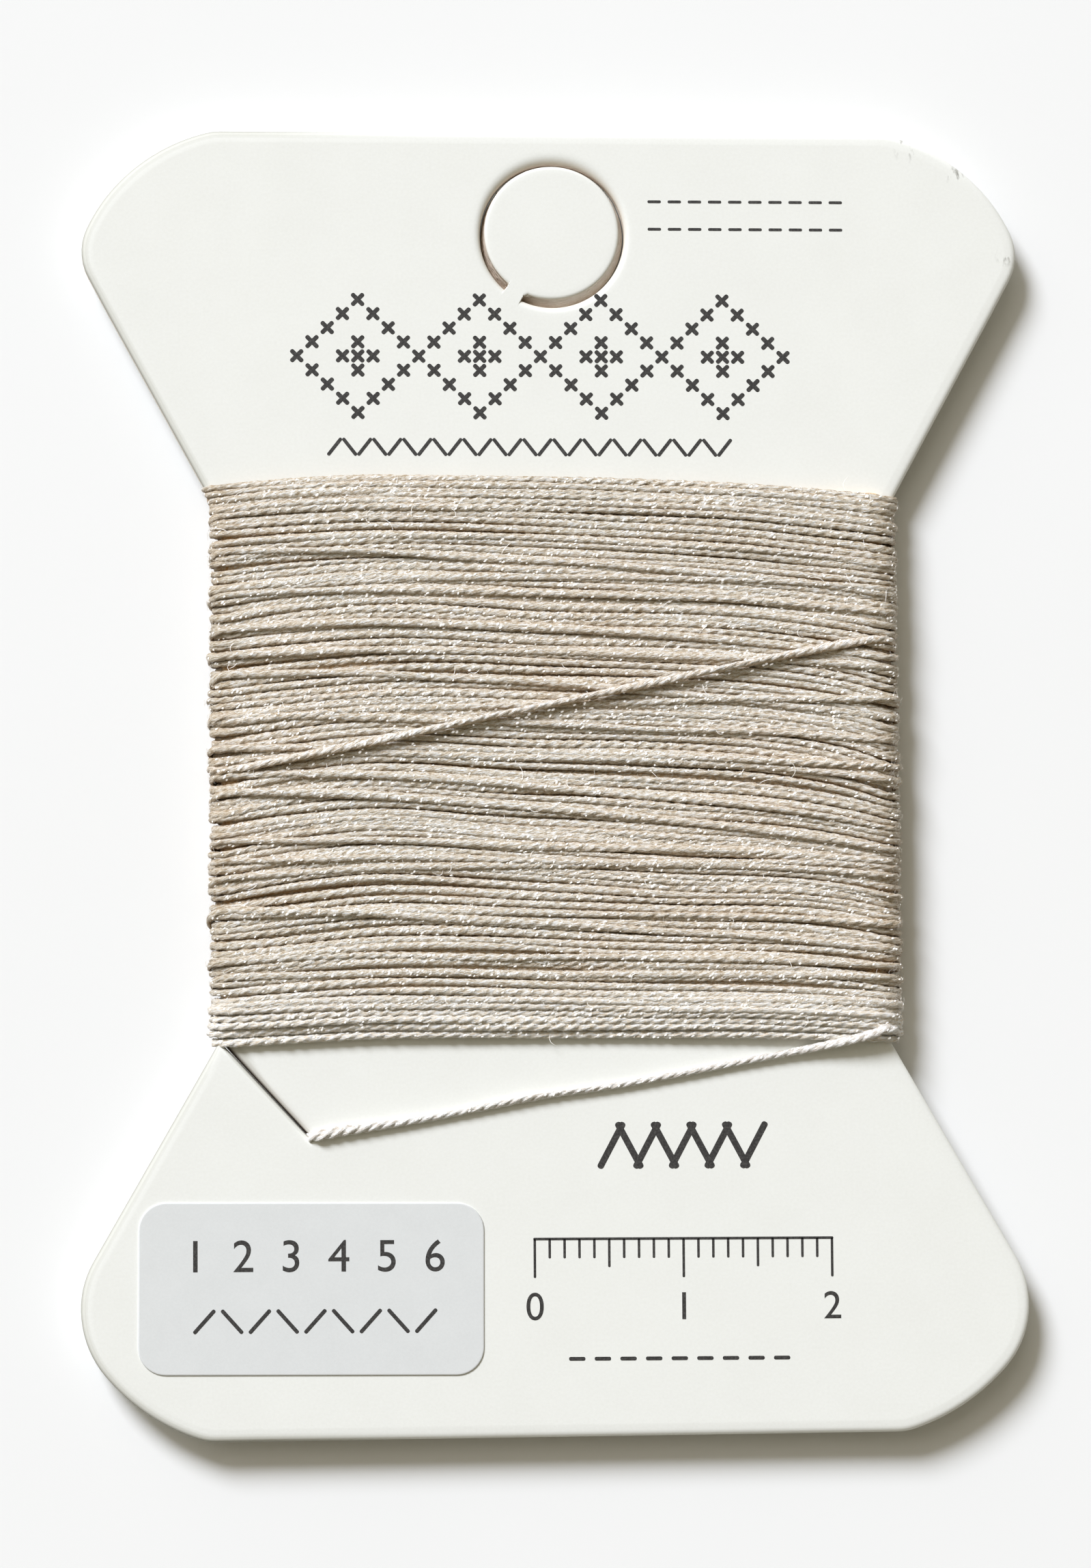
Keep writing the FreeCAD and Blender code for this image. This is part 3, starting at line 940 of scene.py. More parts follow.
@dataclass
class Studio:
    """Camera, lamps, sky and floor."""

    eye: Triple = (-24.17, -40.17, 399.74)
    right: Triple = (0.99826, -0.00637, 0.05862)
    upward: Triple = (0.00052, 0.99507, 0.09918)
    backward: Triple = (-0.05896, -0.09897, 0.99334)
    lens: float = 136.1
    lamp_distance: float = 9000.0
    lamp_way: Triple = (-0.455, 0.665, 0.592)
    lamp_spread: float = 22.0
    lamp_strength: float = 3.68
    lamp_colour: Colour = (0.965, 1.0, 1.09)
    fill_way: Triple = (-0.45, 0.62, 0.64)
    fill_spread: float = 70.0
    fill_strength: float = 1.0
    fill_colour: Colour = (1.03, 1.0, 0.93)
    sky: float = 0.18
    sky_colour: Colour = (1.10, 0.99, 0.72)
    backdrop: Colour = (0.955, 0.96, 0.955)
    floor_side: float = 4000.0

    def camera(self) -> None:
        """Set the camera at the photograph's place and angle."""
        data = bpy.data.cameras.new("camera")
        data.sensor_fit = "AUTO"
        data.sensor_width = 36.0
        data.lens = self.lens
        data.clip_start = 0.01
        data.clip_end = 20.0
        eye = bpy.data.objects.new("camera", data)
        bpy.context.scene.collection.objects.link(eye)
        turned = Matrix((self.right, self.upward, self.backward)).transposed().to_4x4()
        eye.matrix_world = Matrix.Translation(Vector(self.eye) * MM) @ turned
        bpy.context.scene.camera = eye

    def lamps(self) -> None:
        """Hang a soft lamp at the upper left, and a weaker and much wider one about it."""
        self.lamp("lamp", self.lamp_way, self.lamp_spread, self.lamp_strength, self.lamp_colour)
        self.lamp("fill", self.fill_way, self.fill_spread, self.fill_strength, self.fill_colour)

    def lamp(
        self,
        name: str,
        toward: Triple,
        spread: float,
        strength: float,
        colour: Triple,
    ) -> None:
        """Hang one round lamp that faces the card, so far away that it lights the floor evenly.

        Args:
            name: Its name.
            toward: The direction from the card to it.
            spread: How wide it looks from the card, in degrees.
            strength: The light on the card if it faced the lamp, in watts per square metre.
            colour: The light's colour.
        """
        distance = self.lamp_distance * MM
        data = bpy.data.lights.new(name, "AREA")
        data.shape = "DISK"
        data.size = 2 * distance * math.tan(math.radians(spread / 2))
        data.energy = strength * math.pi * distance ** 2
        data.color = colour
        lamp = bpy.data.objects.new(name, data)
        bpy.context.scene.collection.objects.link(lamp)
        way = Vector(toward).normalized()
        lamp.location = way * distance
        lamp.visible_camera = False
        lamp.rotation_mode = "QUATERNION"
        lamp.rotation_quaternion = way.to_track_quat("Z", "Y")

    def surroundings(self) -> None:
        """Light from all round, and a pale backdrop for the camera alone."""
        world = bpy.data.worlds.new("studio")
        bpy.context.scene.world = world
        world.use_nodes = True
        tree = world.node_tree
        tree.nodes.clear()
        path = tree.nodes.new("ShaderNodeLightPath")
        soft = tree.nodes.new("ShaderNodeBackground")
        soft.inputs["Color"].default_value = (*self.sky_colour, 1)
        soft.inputs["Strength"].default_value = self.sky
        shown = tree.nodes.new("ShaderNodeBackground")
        shown.inputs["Color"].default_value = (*self.backdrop, 1)
        shown.inputs["Strength"].default_value = 1.0
        choice = tree.nodes.new("ShaderNodeMixShader")
        output = tree.nodes.new("ShaderNodeOutputWorld")
        tree.links.new(path.outputs["Is Camera Ray"], choice.inputs[0])
        tree.links.new(soft.outputs[0], choice.inputs[1])
        tree.links.new(shown.outputs[0], choice.inputs[2])
        tree.links.new(choice.outputs[0], output.inputs["Surface"])
        bpy.context.scene.view_settings.view_transform = "Standard"

    def floor(self) -> None:
        """Lay the pale floor."""
        deselect_all()
        bpy.ops.mesh.primitive_plane_add(size=self.floor_side * MM, location=(0, 0, 0))
        floor = bpy.context.object
        floor.name = "floor"
        floor.data.materials.append(STUDIO_FLOOR.mix())


def smooth_route(control: Sequence[Sequence[float]], fineness: int) -> np.ndarray:
    """The points of the smooth line that a NURBS spline makes of its control points.

    Args:
        control: The control points in millimetres.
        fineness: How many points the spline gives for each control point.

    Returns:
        The points in millimetres, one row each.
    """
    data = bpy.data.curves.new("route", "CURVE")
    data.dimensions = "3D"
    spline = data.splines.new("NURBS")
    spline.points.add(len(control) - 1)
    for point, place in zip(spline.points, control):
        point.co = (*(Vector(place) * MM), 1)
    spline.order_u = 3
    spline.use_endpoint_u = True
    data.resolution_u = spline.resolution_u = fineness
    holder = bpy.data.objects.new("route", data)
    bpy.context.scene.collection.objects.link(holder)
    bpy.context.view_layer.update()
    line = bpy.data.meshes.new_from_object(holder)
    points = np.zeros(len(line.vertices) * 3)
    line.vertices.foreach_get("co", points)
    bpy.data.meshes.remove(line)
    bpy.data.objects.remove(holder)
    bpy.data.curves.remove(data)
    return points.reshape(-1, 3) / MM


@dataclass
class Thread:
    """A length of plied thread along a route: its line, and how wide and flat it lies."""

    route: np.ndarray
    step: float
    half_wide: float
    half_thick: float
    lay: float = 3.0
    fibre_lay: float = 8.0
    plies: int = 3
    ply_middle: float = 0.48
    ply_radius: float = 0.52
    rough: float = 0.0
    outward: Callable[[np.ndarray, np.ndarray], np.ndarray] | None = None

    def __post_init__(self) -> None:
        """Step evenly along the route and find the thread's own directions there."""
        legs = np.linalg.norm(np.diff(self.route, axis=0), axis=1)
        keep = np.concatenate([[True], legs > 1e-7])
        route = self.route[keep]
        reach = np.concatenate([[0.0], np.cumsum(np.linalg.norm(np.diff(route, axis=0), axis=1))])
        self.length = float(reach[-1])
        count = max(4, int(round(self.length / self.step)) + 1)
        self.reach = np.linspace(0, self.length, count)
        self.line = np.column_stack([np.interp(self.reach, reach, route[:, i]) for i in range(3)])
        ahead = np.gradient(self.line, axis=0)
        for _ in range(2):
            ahead[1:-1] = 0.25 * ahead[:-2] + 0.5 * ahead[1:-1] + 0.25 * ahead[2:]
        self.ahead = ahead / np.linalg.norm(ahead, axis=1)[:, None]
        if self.outward is None:
            self.out = self.carried_normal()
        else:
            wanted = self.outward(self.line, self.ahead)
            wanted = wanted - (wanted * self.ahead).sum(1)[:, None] * self.ahead
            self.out = wanted / np.linalg.norm(wanted, axis=1)[:, None]
        self.side = np.cross(self.ahead, self.out)
        self.plied = np.full(count, 0.35)
        self.girth = np.ones(count)
        self.flat = np.ones(count)

    def vary(self, rng: np.random.Generator, plied: Pair, every: float) -> None:
        """Let the plies' clearness, the girth and the flatness wander along the thread.

        Args:
            rng: The seeded generator.
            plied: The plies' usual clearness, from 0 to 1, and how much it wanders.
            every: The distance between changes, in millimetres.
        """
        marks = np.arange(0, self.length + every, every)
        drift = wander(rng, 3, len(marks), 1)
        self.plied = np.clip(plied[0] + plied[1] * np.interp(self.reach, marks, drift[0]), 0.03, 1)
        self.girth = 1 + 0.09 * np.clip(np.interp(self.reach, marks, drift[1]), -2, 2)
        self.flat = 1 + 0.10 * np.clip(np.interp(self.reach, marks, drift[2]), -2, 2)

    def carried_normal(self) -> np.ndarray:
        """A normal that starts at the back, facing out, and is carried along without turning.

        Returns:
            A normal for each ring.
        """
        normals = np.zeros_like(self.line)
        start = np.array([0.0, 0.0, -1.0])
        normal = start - start.dot(self.ahead[0]) * self.ahead[0]
        for i, ahead in enumerate(self.ahead):
            normal = normal - normal.dot(ahead) * ahead
            normal /= np.linalg.norm(normal)
            normals[i] = normal
        return normals

    def bundle(self, turn: np.ndarray) -> np.ndarray:
        """How far a bundle of round plies stands out at some angles round it.

        Args:
            turn: The angles, in radians.

        Returns:
            The distances from the thread's middle, as shares of its half width.
        """
        off = np.abs((turn + np.pi / self.plies) % (2 * np.pi / self.plies) - np.pi / self.plies)
        ply = np.sqrt(self.ply_radius ** 2 - (self.ply_middle * np.sin(off)) ** 2)
        return self.ply_middle * np.cos(off) + ply

    def at(self, reach: np.ndarray, values: np.ndarray) -> np.ndarray:
        """Values of the thread, given at its rings, at other distances along it.

        Args:
            reach: The distances.
            values: A number or a vector for each ring.

        Returns:
            A number or a vector for each distance.
        """
        if values.ndim == 1:
            return np.interp(reach, self.reach, values)
        return np.column_stack([np.interp(reach, self.reach, values[:, i]) for i in range(3)])

    def skin(self, reach: np.ndarray, turn: np.ndarray, grow: float | np.ndarray) -> np.ndarray:
        """Points on the thread's skin.

        Args:
            reach: Distances along the thread.
            turn: Angles round it, in radians, a quarter turn being outward.
            grow: How far outside the skin the points are.

        Returns:
            The points, one row each.
        """
        share = self.at(reach, self.plied)
        column = turn - (2 * np.pi / self.lay) * reach
        bulge = ((1 - share) * 0.93 + share * self.bundle(column)) * self.at(reach, self.girth)
        flat = self.at(reach, self.flat)
        wide = (self.half_wide * bulge * flat + grow) * np.cos(turn)
        thick = (self.half_thick * bulge / flat + grow) * np.sin(turn)
        return (
            self.at(reach, self.line)
            + self.at(reach, self.side) * wide[:, None]
            + self.at(reach, self.out) * thick[:, None]
        )

    def mesh(
        self, name: str, columns: int, first: int = 0, last: int | None = None
    ) -> Piece:
        """Sweep the thread's section along a stretch of it.

        Args:
            name: The piece's name.
            columns: How many points a ring has.
            first: The first ring.
            last: The last ring.

        Returns:
            The new object, with the fibres' lay stored on its points.
        """
        last = len(self.line) if last is None else last
        rings = last - first
        reach = np.repeat(self.reach[first:last], columns)
        column = np.tile(2 * np.pi * np.arange(columns) / columns, rings)
        turn = column + (2 * np.pi / self.lay) * reach
        tufts = np.random.default_rng(3).standard_normal((len(self.line), columns))
        points = self.skin(reach, turn, self.rough * tufts[first:last].ravel())
        points[:, 2] = np.maximum(points[:, 2], FLOOR_CLEARANCE)
        drift = turn - (2 * np.pi / self.fibre_lay) * reach
        lay = np.column_stack([np.cos(drift), np.sin(drift), reach])
        ring = np.arange(rings - 1)[:, None] * columns
        here = np.arange(columns)[None, :]
        beside = (here + 1) % columns
        quads = np.stack(
            [ring + here, ring + columns + here, ring + columns + beside, ring + beside], 2
        )
        # Stored for the thread's material, which paints shade on the sides facing into the winding.
        crest = 0.5 + 0.5 * np.sin(turn)
        return mesh_object(name, points, quads.reshape(-1, 4), lay, crest, columns)


def mesh_object(
    name: str,
    points: np.ndarray,
    quads: np.ndarray,
    lay: np.ndarray,
    crest: np.ndarray,
    cap: int,
) -> Piece:
    """An object from rows of points and four-sided faces, closed at both ends.

    Args:
        name: The piece's name.
        points: Its points in millimetres.
        quads: Four point numbers for each face.
        lay: A vector for each point, along its fibres.
        crest: For each point, 1 where it faces out of the winding and 0 where it faces in.
        cap: The ring's size.

    Returns:
        The object, shaded smooth.
    """
    data = bpy.data.meshes.new(name)
    low = np.arange(cap)
    high = len(points) - cap + np.arange(cap)[::-1]
    corners = np.concatenate([quads.reshape(-1), low, high])
    starts = np.append(np.arange(len(quads)) * 4, [4 * len(quads), 4 * len(quads) + cap])
    totals = np.append(np.full(len(quads), 4), [cap, cap])
    data.vertices.add(len(points))
    data.vertices.foreach_set("co", (points * MM).astype(np.float32).ravel())
    data.loops.add(len(corners))
    data.loops.foreach_set("vertex_index", corners.astype(np.int32))
    data.polygons.add(len(starts))
    data.polygons.foreach_set("loop_start", starts.astype(np.int32))
    data.polygons.foreach_set("loop_total", totals.astype(np.int32))
    data.polygons.foreach_set("use_smooth", np.ones(len(starts), dtype=bool))
    stored = data.attributes.new("fibre_lay", "FLOAT_VECTOR", "POINT")
    stored.data.foreach_set("vector", lay.astype(np.float32).ravel())
    stored = data.attributes.new("crest", "FLOAT", "POINT")
    stored.data.foreach_set("value", crest.astype(np.float32))
    data.update(calc_edges=True)
    data.validate()
    piece = bpy.data.objects.new(name, data)
    bpy.context.scene.collection.objects.link(piece)
    return piece


def away_from_card(line: np.ndarray, ahead: np.ndarray) -> np.ndarray:
    """The direction straight out of the winding at each point of a turn.

    Args:
        line: The points, in millimetres.
        ahead: The thread's direction there; not used.

    Returns:
        A direction for each point.
    """
    reach = np.clip(line[:, 0], -EDGE_TURN_X, EDGE_TURN_X)
    return np.column_stack([line[:, 0] - reach, 0 * reach, line[:, 2] - BOARD_MIDDLE_Z])


@dataclass
class Winding:
    """The turns of thread about the waist: close ones, loose ones over them, one layer under."""

    seed: int = 11
    close_turns: int = 80
    loose_turns: int = 22
    under_turns: int = 50
    front_x: tuple[float, ...] = (
        -19.8, -16.2, -12.6, -9.0, -5.4, -1.8, 1.8, 5.4, 9.0, 12.6, 16.2, 19.8,
    )
    back_x: tuple[float, ...] = (-18.0, -6.0, 6.0, 18.0)
    close_front: float = 3.27
    close_back: float = 0.60
    loose_front: float = 3.46
    loose_back: float = 0.38
    edge_x: float = 23.2
    shift_x: float = 0.12
    flare: float = 0.05
    half_wide: float = 0.30
    half_thick: float = 0.225
    step: float = 0.21
    pieces: int = 7
    parted: float = 0.22
    edge_pull: float = 0.9
    edge_round: float = 0.85
    half_waist: float = 21.7
    head: Pair = (16.1, 0.532)
    foot: Pair = (16.35, 0.573)
    clear_turns: float = 4.2
    turn_length: float = 96.0
    end_depth: tuple[float, ...] = (0.52, 0.30, 0.15, 0.06)
    droop: float = 0.13
    loose_end_depth: tuple[float, ...] = (0.30, 0.12)
    under_end_depth: tuple[float, ...] = (0.32, 0.12)
    top_x: tuple[float, ...] = (-23.4, -13.5, 0.0, 13.5, 23.7)
    top_y: tuple[float, ...] = (19.72, 20.40, 20.30, 19.86, 19.02)
    low_x: tuple[float, ...] = (-23.4, -12.0, 0.0, 13.0, 22.7)
    low_y: tuple[float, ...] = (-18.30, -17.74, -17.76, -17.78, -18.10)

    def stations(self) -> np.ndarray:
        """Where along the front a turn's height is set: both edges and the places between."""
        return np.array((-self.edge_x, *self.front_x, self.edge_x))

    def band(self) -> tuple[np.ndarray, np.ndarray]:
        """The heights of the lowest and the highest strand at each station.

        Returns:
            Both rows of heights.
        """
        x = self.stations()
        low = np.interp(x, self.low_x, self.low_y) + 0.24
        return low, np.interp(x, self.top_x, self.top_y) - 0.24

    def close_rows(self, rng: np.random.Generator, rows: int) -> np.ndarray:
        """Turns side by side from the lowest up, with gaps that open and close along them.

        Args:
            rng: The seeded generator.
            rows: How many turns.

        Returns:
            A row of heights for each turn.
        """
        low, top = self.band()
        x = self.stations() / self.edge_x
        gaps = 1 + 0.26 * rng.standard_normal((rows - 1, 1))
        gaps = gaps + 0.16 * wander(rng, rows - 1, 1, 0) * x
        gaps = gaps + 0.10 * wander(rng, rows - 1, len(x), 2)
        parted = rng.random((rows - 1, 1)) < self.parted
        groove = np.clip(0.35 + 0.4 * x * rng.standard_normal((rows - 1, 1)), 0, 1)
        gaps = np.clip(gaps, 0.45, 1.7) + parted * groove * (1 - 0.75 * np.abs(x) ** 4)
        pairs = 1 + 0.10 * np.where(np.arange(rows - 1) % 2 == 0, 1, -1)
        gaps[:, 0] *= pairs
        gaps[:, -1] *= pairs
        gaps[1:5] = np.clip(gaps[1:5], 0.6, 0.95)
        gaps[-5:] = np.clip(gaps[-5:], 0.6, 0.95)
        gaps[0] = 1.2
        climb = np.vstack([np.zeros(len(x)), np.cumsum(gaps, axis=0)])
        share = climb / climb[-1]
        slope = 0.75 * np.sin(np.pi * np.clip(np.arange(rows) / (rows - 1) * 1.05, 0, 1)) ** 0.8
        return low + (top - low) * share - slope[:, None] * x[None, :]

    def loose_rows(self, rng: np.random.Generator, rows: int) -> np.ndarray:
        """Turns that come back down over the close ones, each with its own slope.

        Args:
            rng: The seeded generator.
            rows: How many turns.

        Returns:
            A row of heights for each turn.
        """
        low, top = self.band()
        x = self.stations() / self.edge_x
        share = (np.arange(rows) + 1.3) / (rows + 1.8) + 0.010 * rng.standard_normal(rows)
        room = np.sin(np.pi * np.clip(share, 0, 1)) ** 0.6
        slope = (-0.85 + 0.95 * rng.standard_normal(rows)) * room
        bow = 0.25 * rng.standard_normal(rows) * room
        heights = top + (low - top) * share[:, None]
        heights = heights + slope[:, None] * x + bow[:, None] * (x ** 2 - 0.4)
        heights = heights + 0.05 * wander(rng, rows, len(x), 1)
        return np.clip(heights, low + 1.9, top - 1.3)

    def edge(self, y: float) -> float:
        """How far from the middle the card's edge lies at some height."""
        above, below = max(0.0, y - self.head[0]), max(0.0, -self.foot[0] - y)
        return self.half_waist + self.head[1] * above + self.foot[1] * below

    def sunk(self, rows: int, depth: Sequence[float]) -> np.ndarray:
        """How much nearer to the card each turn lies than the middle ones.

        Args:
            rows: How many turns.
            depth: How much the outermost turns do at both ends, in millimetres.

        Returns:
            A depth for each turn.
        """
        sunk = np.zeros(rows)
        sunk[: len(depth)] = depth
        sunk[-len(depth) :] = 0.6 * np.array(depth[::-1])
        return sunk

    def round_edge(
        self, edge: float, start: Pair, end: Pair
    ) -> list[Triple]:
        """Control points of a turn where it bends round one edge of the card.

        Args:
            edge: How far out it reaches, to the left below zero.
            start: Its height on the card and above the floor where the bend starts.
            end: The same where the bend ends.

        Returns:
            Four points, in millimetres.
        """
        y, z = start
        bend = math.copysign(self.edge_round, end[1] - z)
        inner = edge - math.copysign(self.edge_pull, edge)
        points = []
        for x, height in ((inner, z), (edge, z + bend), (edge, end[1] - bend), (inner, end[1])):
            share = (height - z) / (end[1] - z)
            points.append((x, y + (end[0] - y) * share, height))
        return points

    def turns(
        self,
        rng: np.random.Generator,
        rows: np.ndarray,
        front: float,
        back: float,
        reach: float,
        depth: Sequence[float],
    ) -> list[Triple]:
        """Control points of some turns, one after another.

        Args:
            rng: The seeded generator.
            rows: Their heights at the stations.
            front: The height above the floor of the thread's middle on the front.
            back: The same on the back.
            reach: How far from the middle the thread's middle turns round the card's edges.
            depth: How much nearer to the card the outermost turns lie.

        Returns:
            The points, 24 to a turn, in millimetres.
        """
        count = len(rows)
        sunk = self.sunk(count, depth)
        high = front - sunk[:, None] + 0.05 * wander(rng, count, rows.shape[1], 1)
        high = high - self.droop * np.abs(self.stations() / self.edge_x) ** 8
        sideways = reach + 0.085 * rng.standard_normal((count, 2))
        back_y = 0.09 * wander(rng, count, len(self.back_x), 1)
        lowest = back + 0.6 * sunk
        back_z = lowest[:, None] + np.abs(0.05 * wander(rng, count, len(self.back_x), 1))
        rule = []
        for k, low in enumerate(lowest):
            before, after = rows[max(0, k - 1)], rows[min(count - 1, k + 1)]
            left = 0.35 * rows[k, 0] + 0.65 * before[0]
            right = 0.9 * rows[k, -1] + 0.1 * before[-1]
            for j, x in enumerate(self.back_x):
                y = left + (right - left) * (x + 23) / 46 + back_y[k, j]
                rule.append((x, y, back_z[k, j]))
            edge = max(sideways[k, 1] + self.shift_x, self.edge(rows[k, -1]) + self.flare)
            rule += self.round_edge(edge, (right, low), (rows[k, -1], high[k, -1]))
            for j in range(len(self.front_x) - 1, -1, -1):
                rule.append((self.front_x[j] + self.shift_x, rows[k, j + 1], high[k, j + 1]))
            edge = -max(sideways[k, 0] - self.shift_x, self.edge(rows[k, 0]) + self.flare)
            left = 0.35 * after[0] + 0.65 * rows[k, 0]
            rule += self.round_edge(edge, (rows[k, 0], high[k, 0]), (left, low))
        return rule

    def wind(self, finish: Finish) -> Thread:
        """Wind the close turns up and the loose ones back down, in a few pieces.

        Args:
            finish: The thread's material.

        Returns:
            The outer thread.
        """
        rng = np.random.default_rng(self.seed)
        close = self.close_rows(rng, self.close_turns)
        loose = self.loose_rows(rng, self.loose_turns)
        rule = self.turns(
            rng, close, self.close_front, self.close_back, self.edge_x - 0.02, self.end_depth
        )
        rule += self.turns(
            rng, loose, self.loose_front, self.loose_back, self.edge_x + 0.03, self.loose_end_depth
        )
        thread = Thread(
            smooth_route(rule, 12),
            self.step,
            self.half_wide,
            self.half_thick,
            rough=0.017,
            outward=away_from_card,
        )
        thread.vary(rng, (0.38, 0.18), 4.0)
        lowest = thread.reach < self.clear_turns * self.turn_length
        thread.plied = np.where(lowest, np.maximum(thread.plied, 0.75), thread.plied)
        tight = np.clip((np.abs(thread.line[:, 0] - self.shift_x) - 21.0) / 1.6, 0, 1)
        thread.girth = thread.girth * (1 - 0.10 * tight)
        cuts = np.linspace(0, len(thread.line) - 1, self.pieces + 1).astype(int)
        for i in range(self.pieces):
            piece = thread.mesh("turns_%d" % (i + 1), 12, cuts[i], cuts[i + 1] + 1)
            hand_over(piece, finish, Body.CARD, ["winding_outer_turns"])
        return thread

    def wind_under(self, finish: Finish) -> None:
        """Wind the layer beneath, which shows at the bottom of the grooves.

        Args:
            finish: The thread's material.
        """
        rng = np.random.default_rng(self.seed + 1)
        rows = self.close_rows(rng, self.under_turns)[1:-1]
        rule = self.turns(
            rng,
            rows,
            self.close_front - 0.36,
            self.close_back + 0.34,
            self.edge_x - 0.42,
            self.under_end_depth,
        )
        thread = Thread(smooth_route(rule, 8), 0.4, 0.43, 0.25, outward=away_from_card)
        thread.vary(rng, (0.25, 0.1), 6.0)
        piece = thread.mesh("under_turns", 8)
        hand_over(piece, finish, Body.CARD, ["winding_inner_layers"])

    def heart(self, finish: Finish) -> None:
        """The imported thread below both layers, as one rounded bundle.

        Args:
            finish: The thread's material.
        """
        deselect_all()
        bpy.ops.mesh.primitive_cube_add(size=1, location=(0, 1.0 * MM, BOARD_MIDDLE_Z * MM))
        bundle = bpy.context.object
        bundle.name = bundle.data.name = "packed_thread"
        bundle.scale = Vector((45.0, 36.2, 2.0)) * MM
        bpy.ops.object.transform_apply(location=True, rotation=False, scale=True)
        bpy.ops.object.mode_set(mode="EDIT")
        pick(bundle, Part.EDGE, lambda edge: abs((edge.verts[1].co - edge.verts[0].co).y) > 30 * MM)
        bpy.ops.mesh.bevel(offset=0.9 * MM, segments=8, profile=0.5)
        pick(bundle, Part.FACE, lambda face: abs(face.normal.y) > 0.9)
        bpy.ops.mesh.inset(thickness=0.3 * MM, depth=0.2 * MM)
        shade(bundle, 40)
        stored = bundle.data.attributes.new("fibre_lay", "FLOAT_VECTOR", "POINT")
        for vertex, value in zip(bundle.data.vertices, stored.data):
            value.vector = (vertex.co.y * 900, vertex.co.z * 900, vertex.co.x / MM)
        hand_over(bundle, finish, Body.CARD)


@dataclass
class FinishingRun:
    """The last stretch of thread, over the winding, down the face and through the slit."""

    half_wide: float = 0.27
    half_thick: float = 0.265
    lay: float = 2.6
    seed: int = 23

    def lay_down(self, finish: Finish) -> Thread:
        """Args:
            finish: The thread's material.

        Returns:
            The finishing run's thread.
        """
        thread = Thread(
            smooth_route(FINISHING_ROUTE, 24),
            0.07,
            self.half_wide,
            self.half_thick,
            lay=self.lay,
            fibre_lay=5.0,
            rough=0.010,
        )
        thread.vary(np.random.default_rng(self.seed), (0.80, 0.12), 2.2)
        thread.plied = np.where(thread.line[:, 2] > 3.3, 0.55 * thread.plied, thread.plied)
        splayed = np.clip((-9.0 - thread.line[:, 0]) / 7.0, 0, 1) * (thread.line[:, 1] < -20)
        thread.girth = thread.girth * (1 + 0.28 * splayed ** 1.5)
        thread.flat = thread.flat * (1 + 0.14 * splayed)
        piece = thread.mesh("finishing_run", 18)
        hand_over(piece, finish, Body.CARD, ["thread_finishing_run"])
        return thread


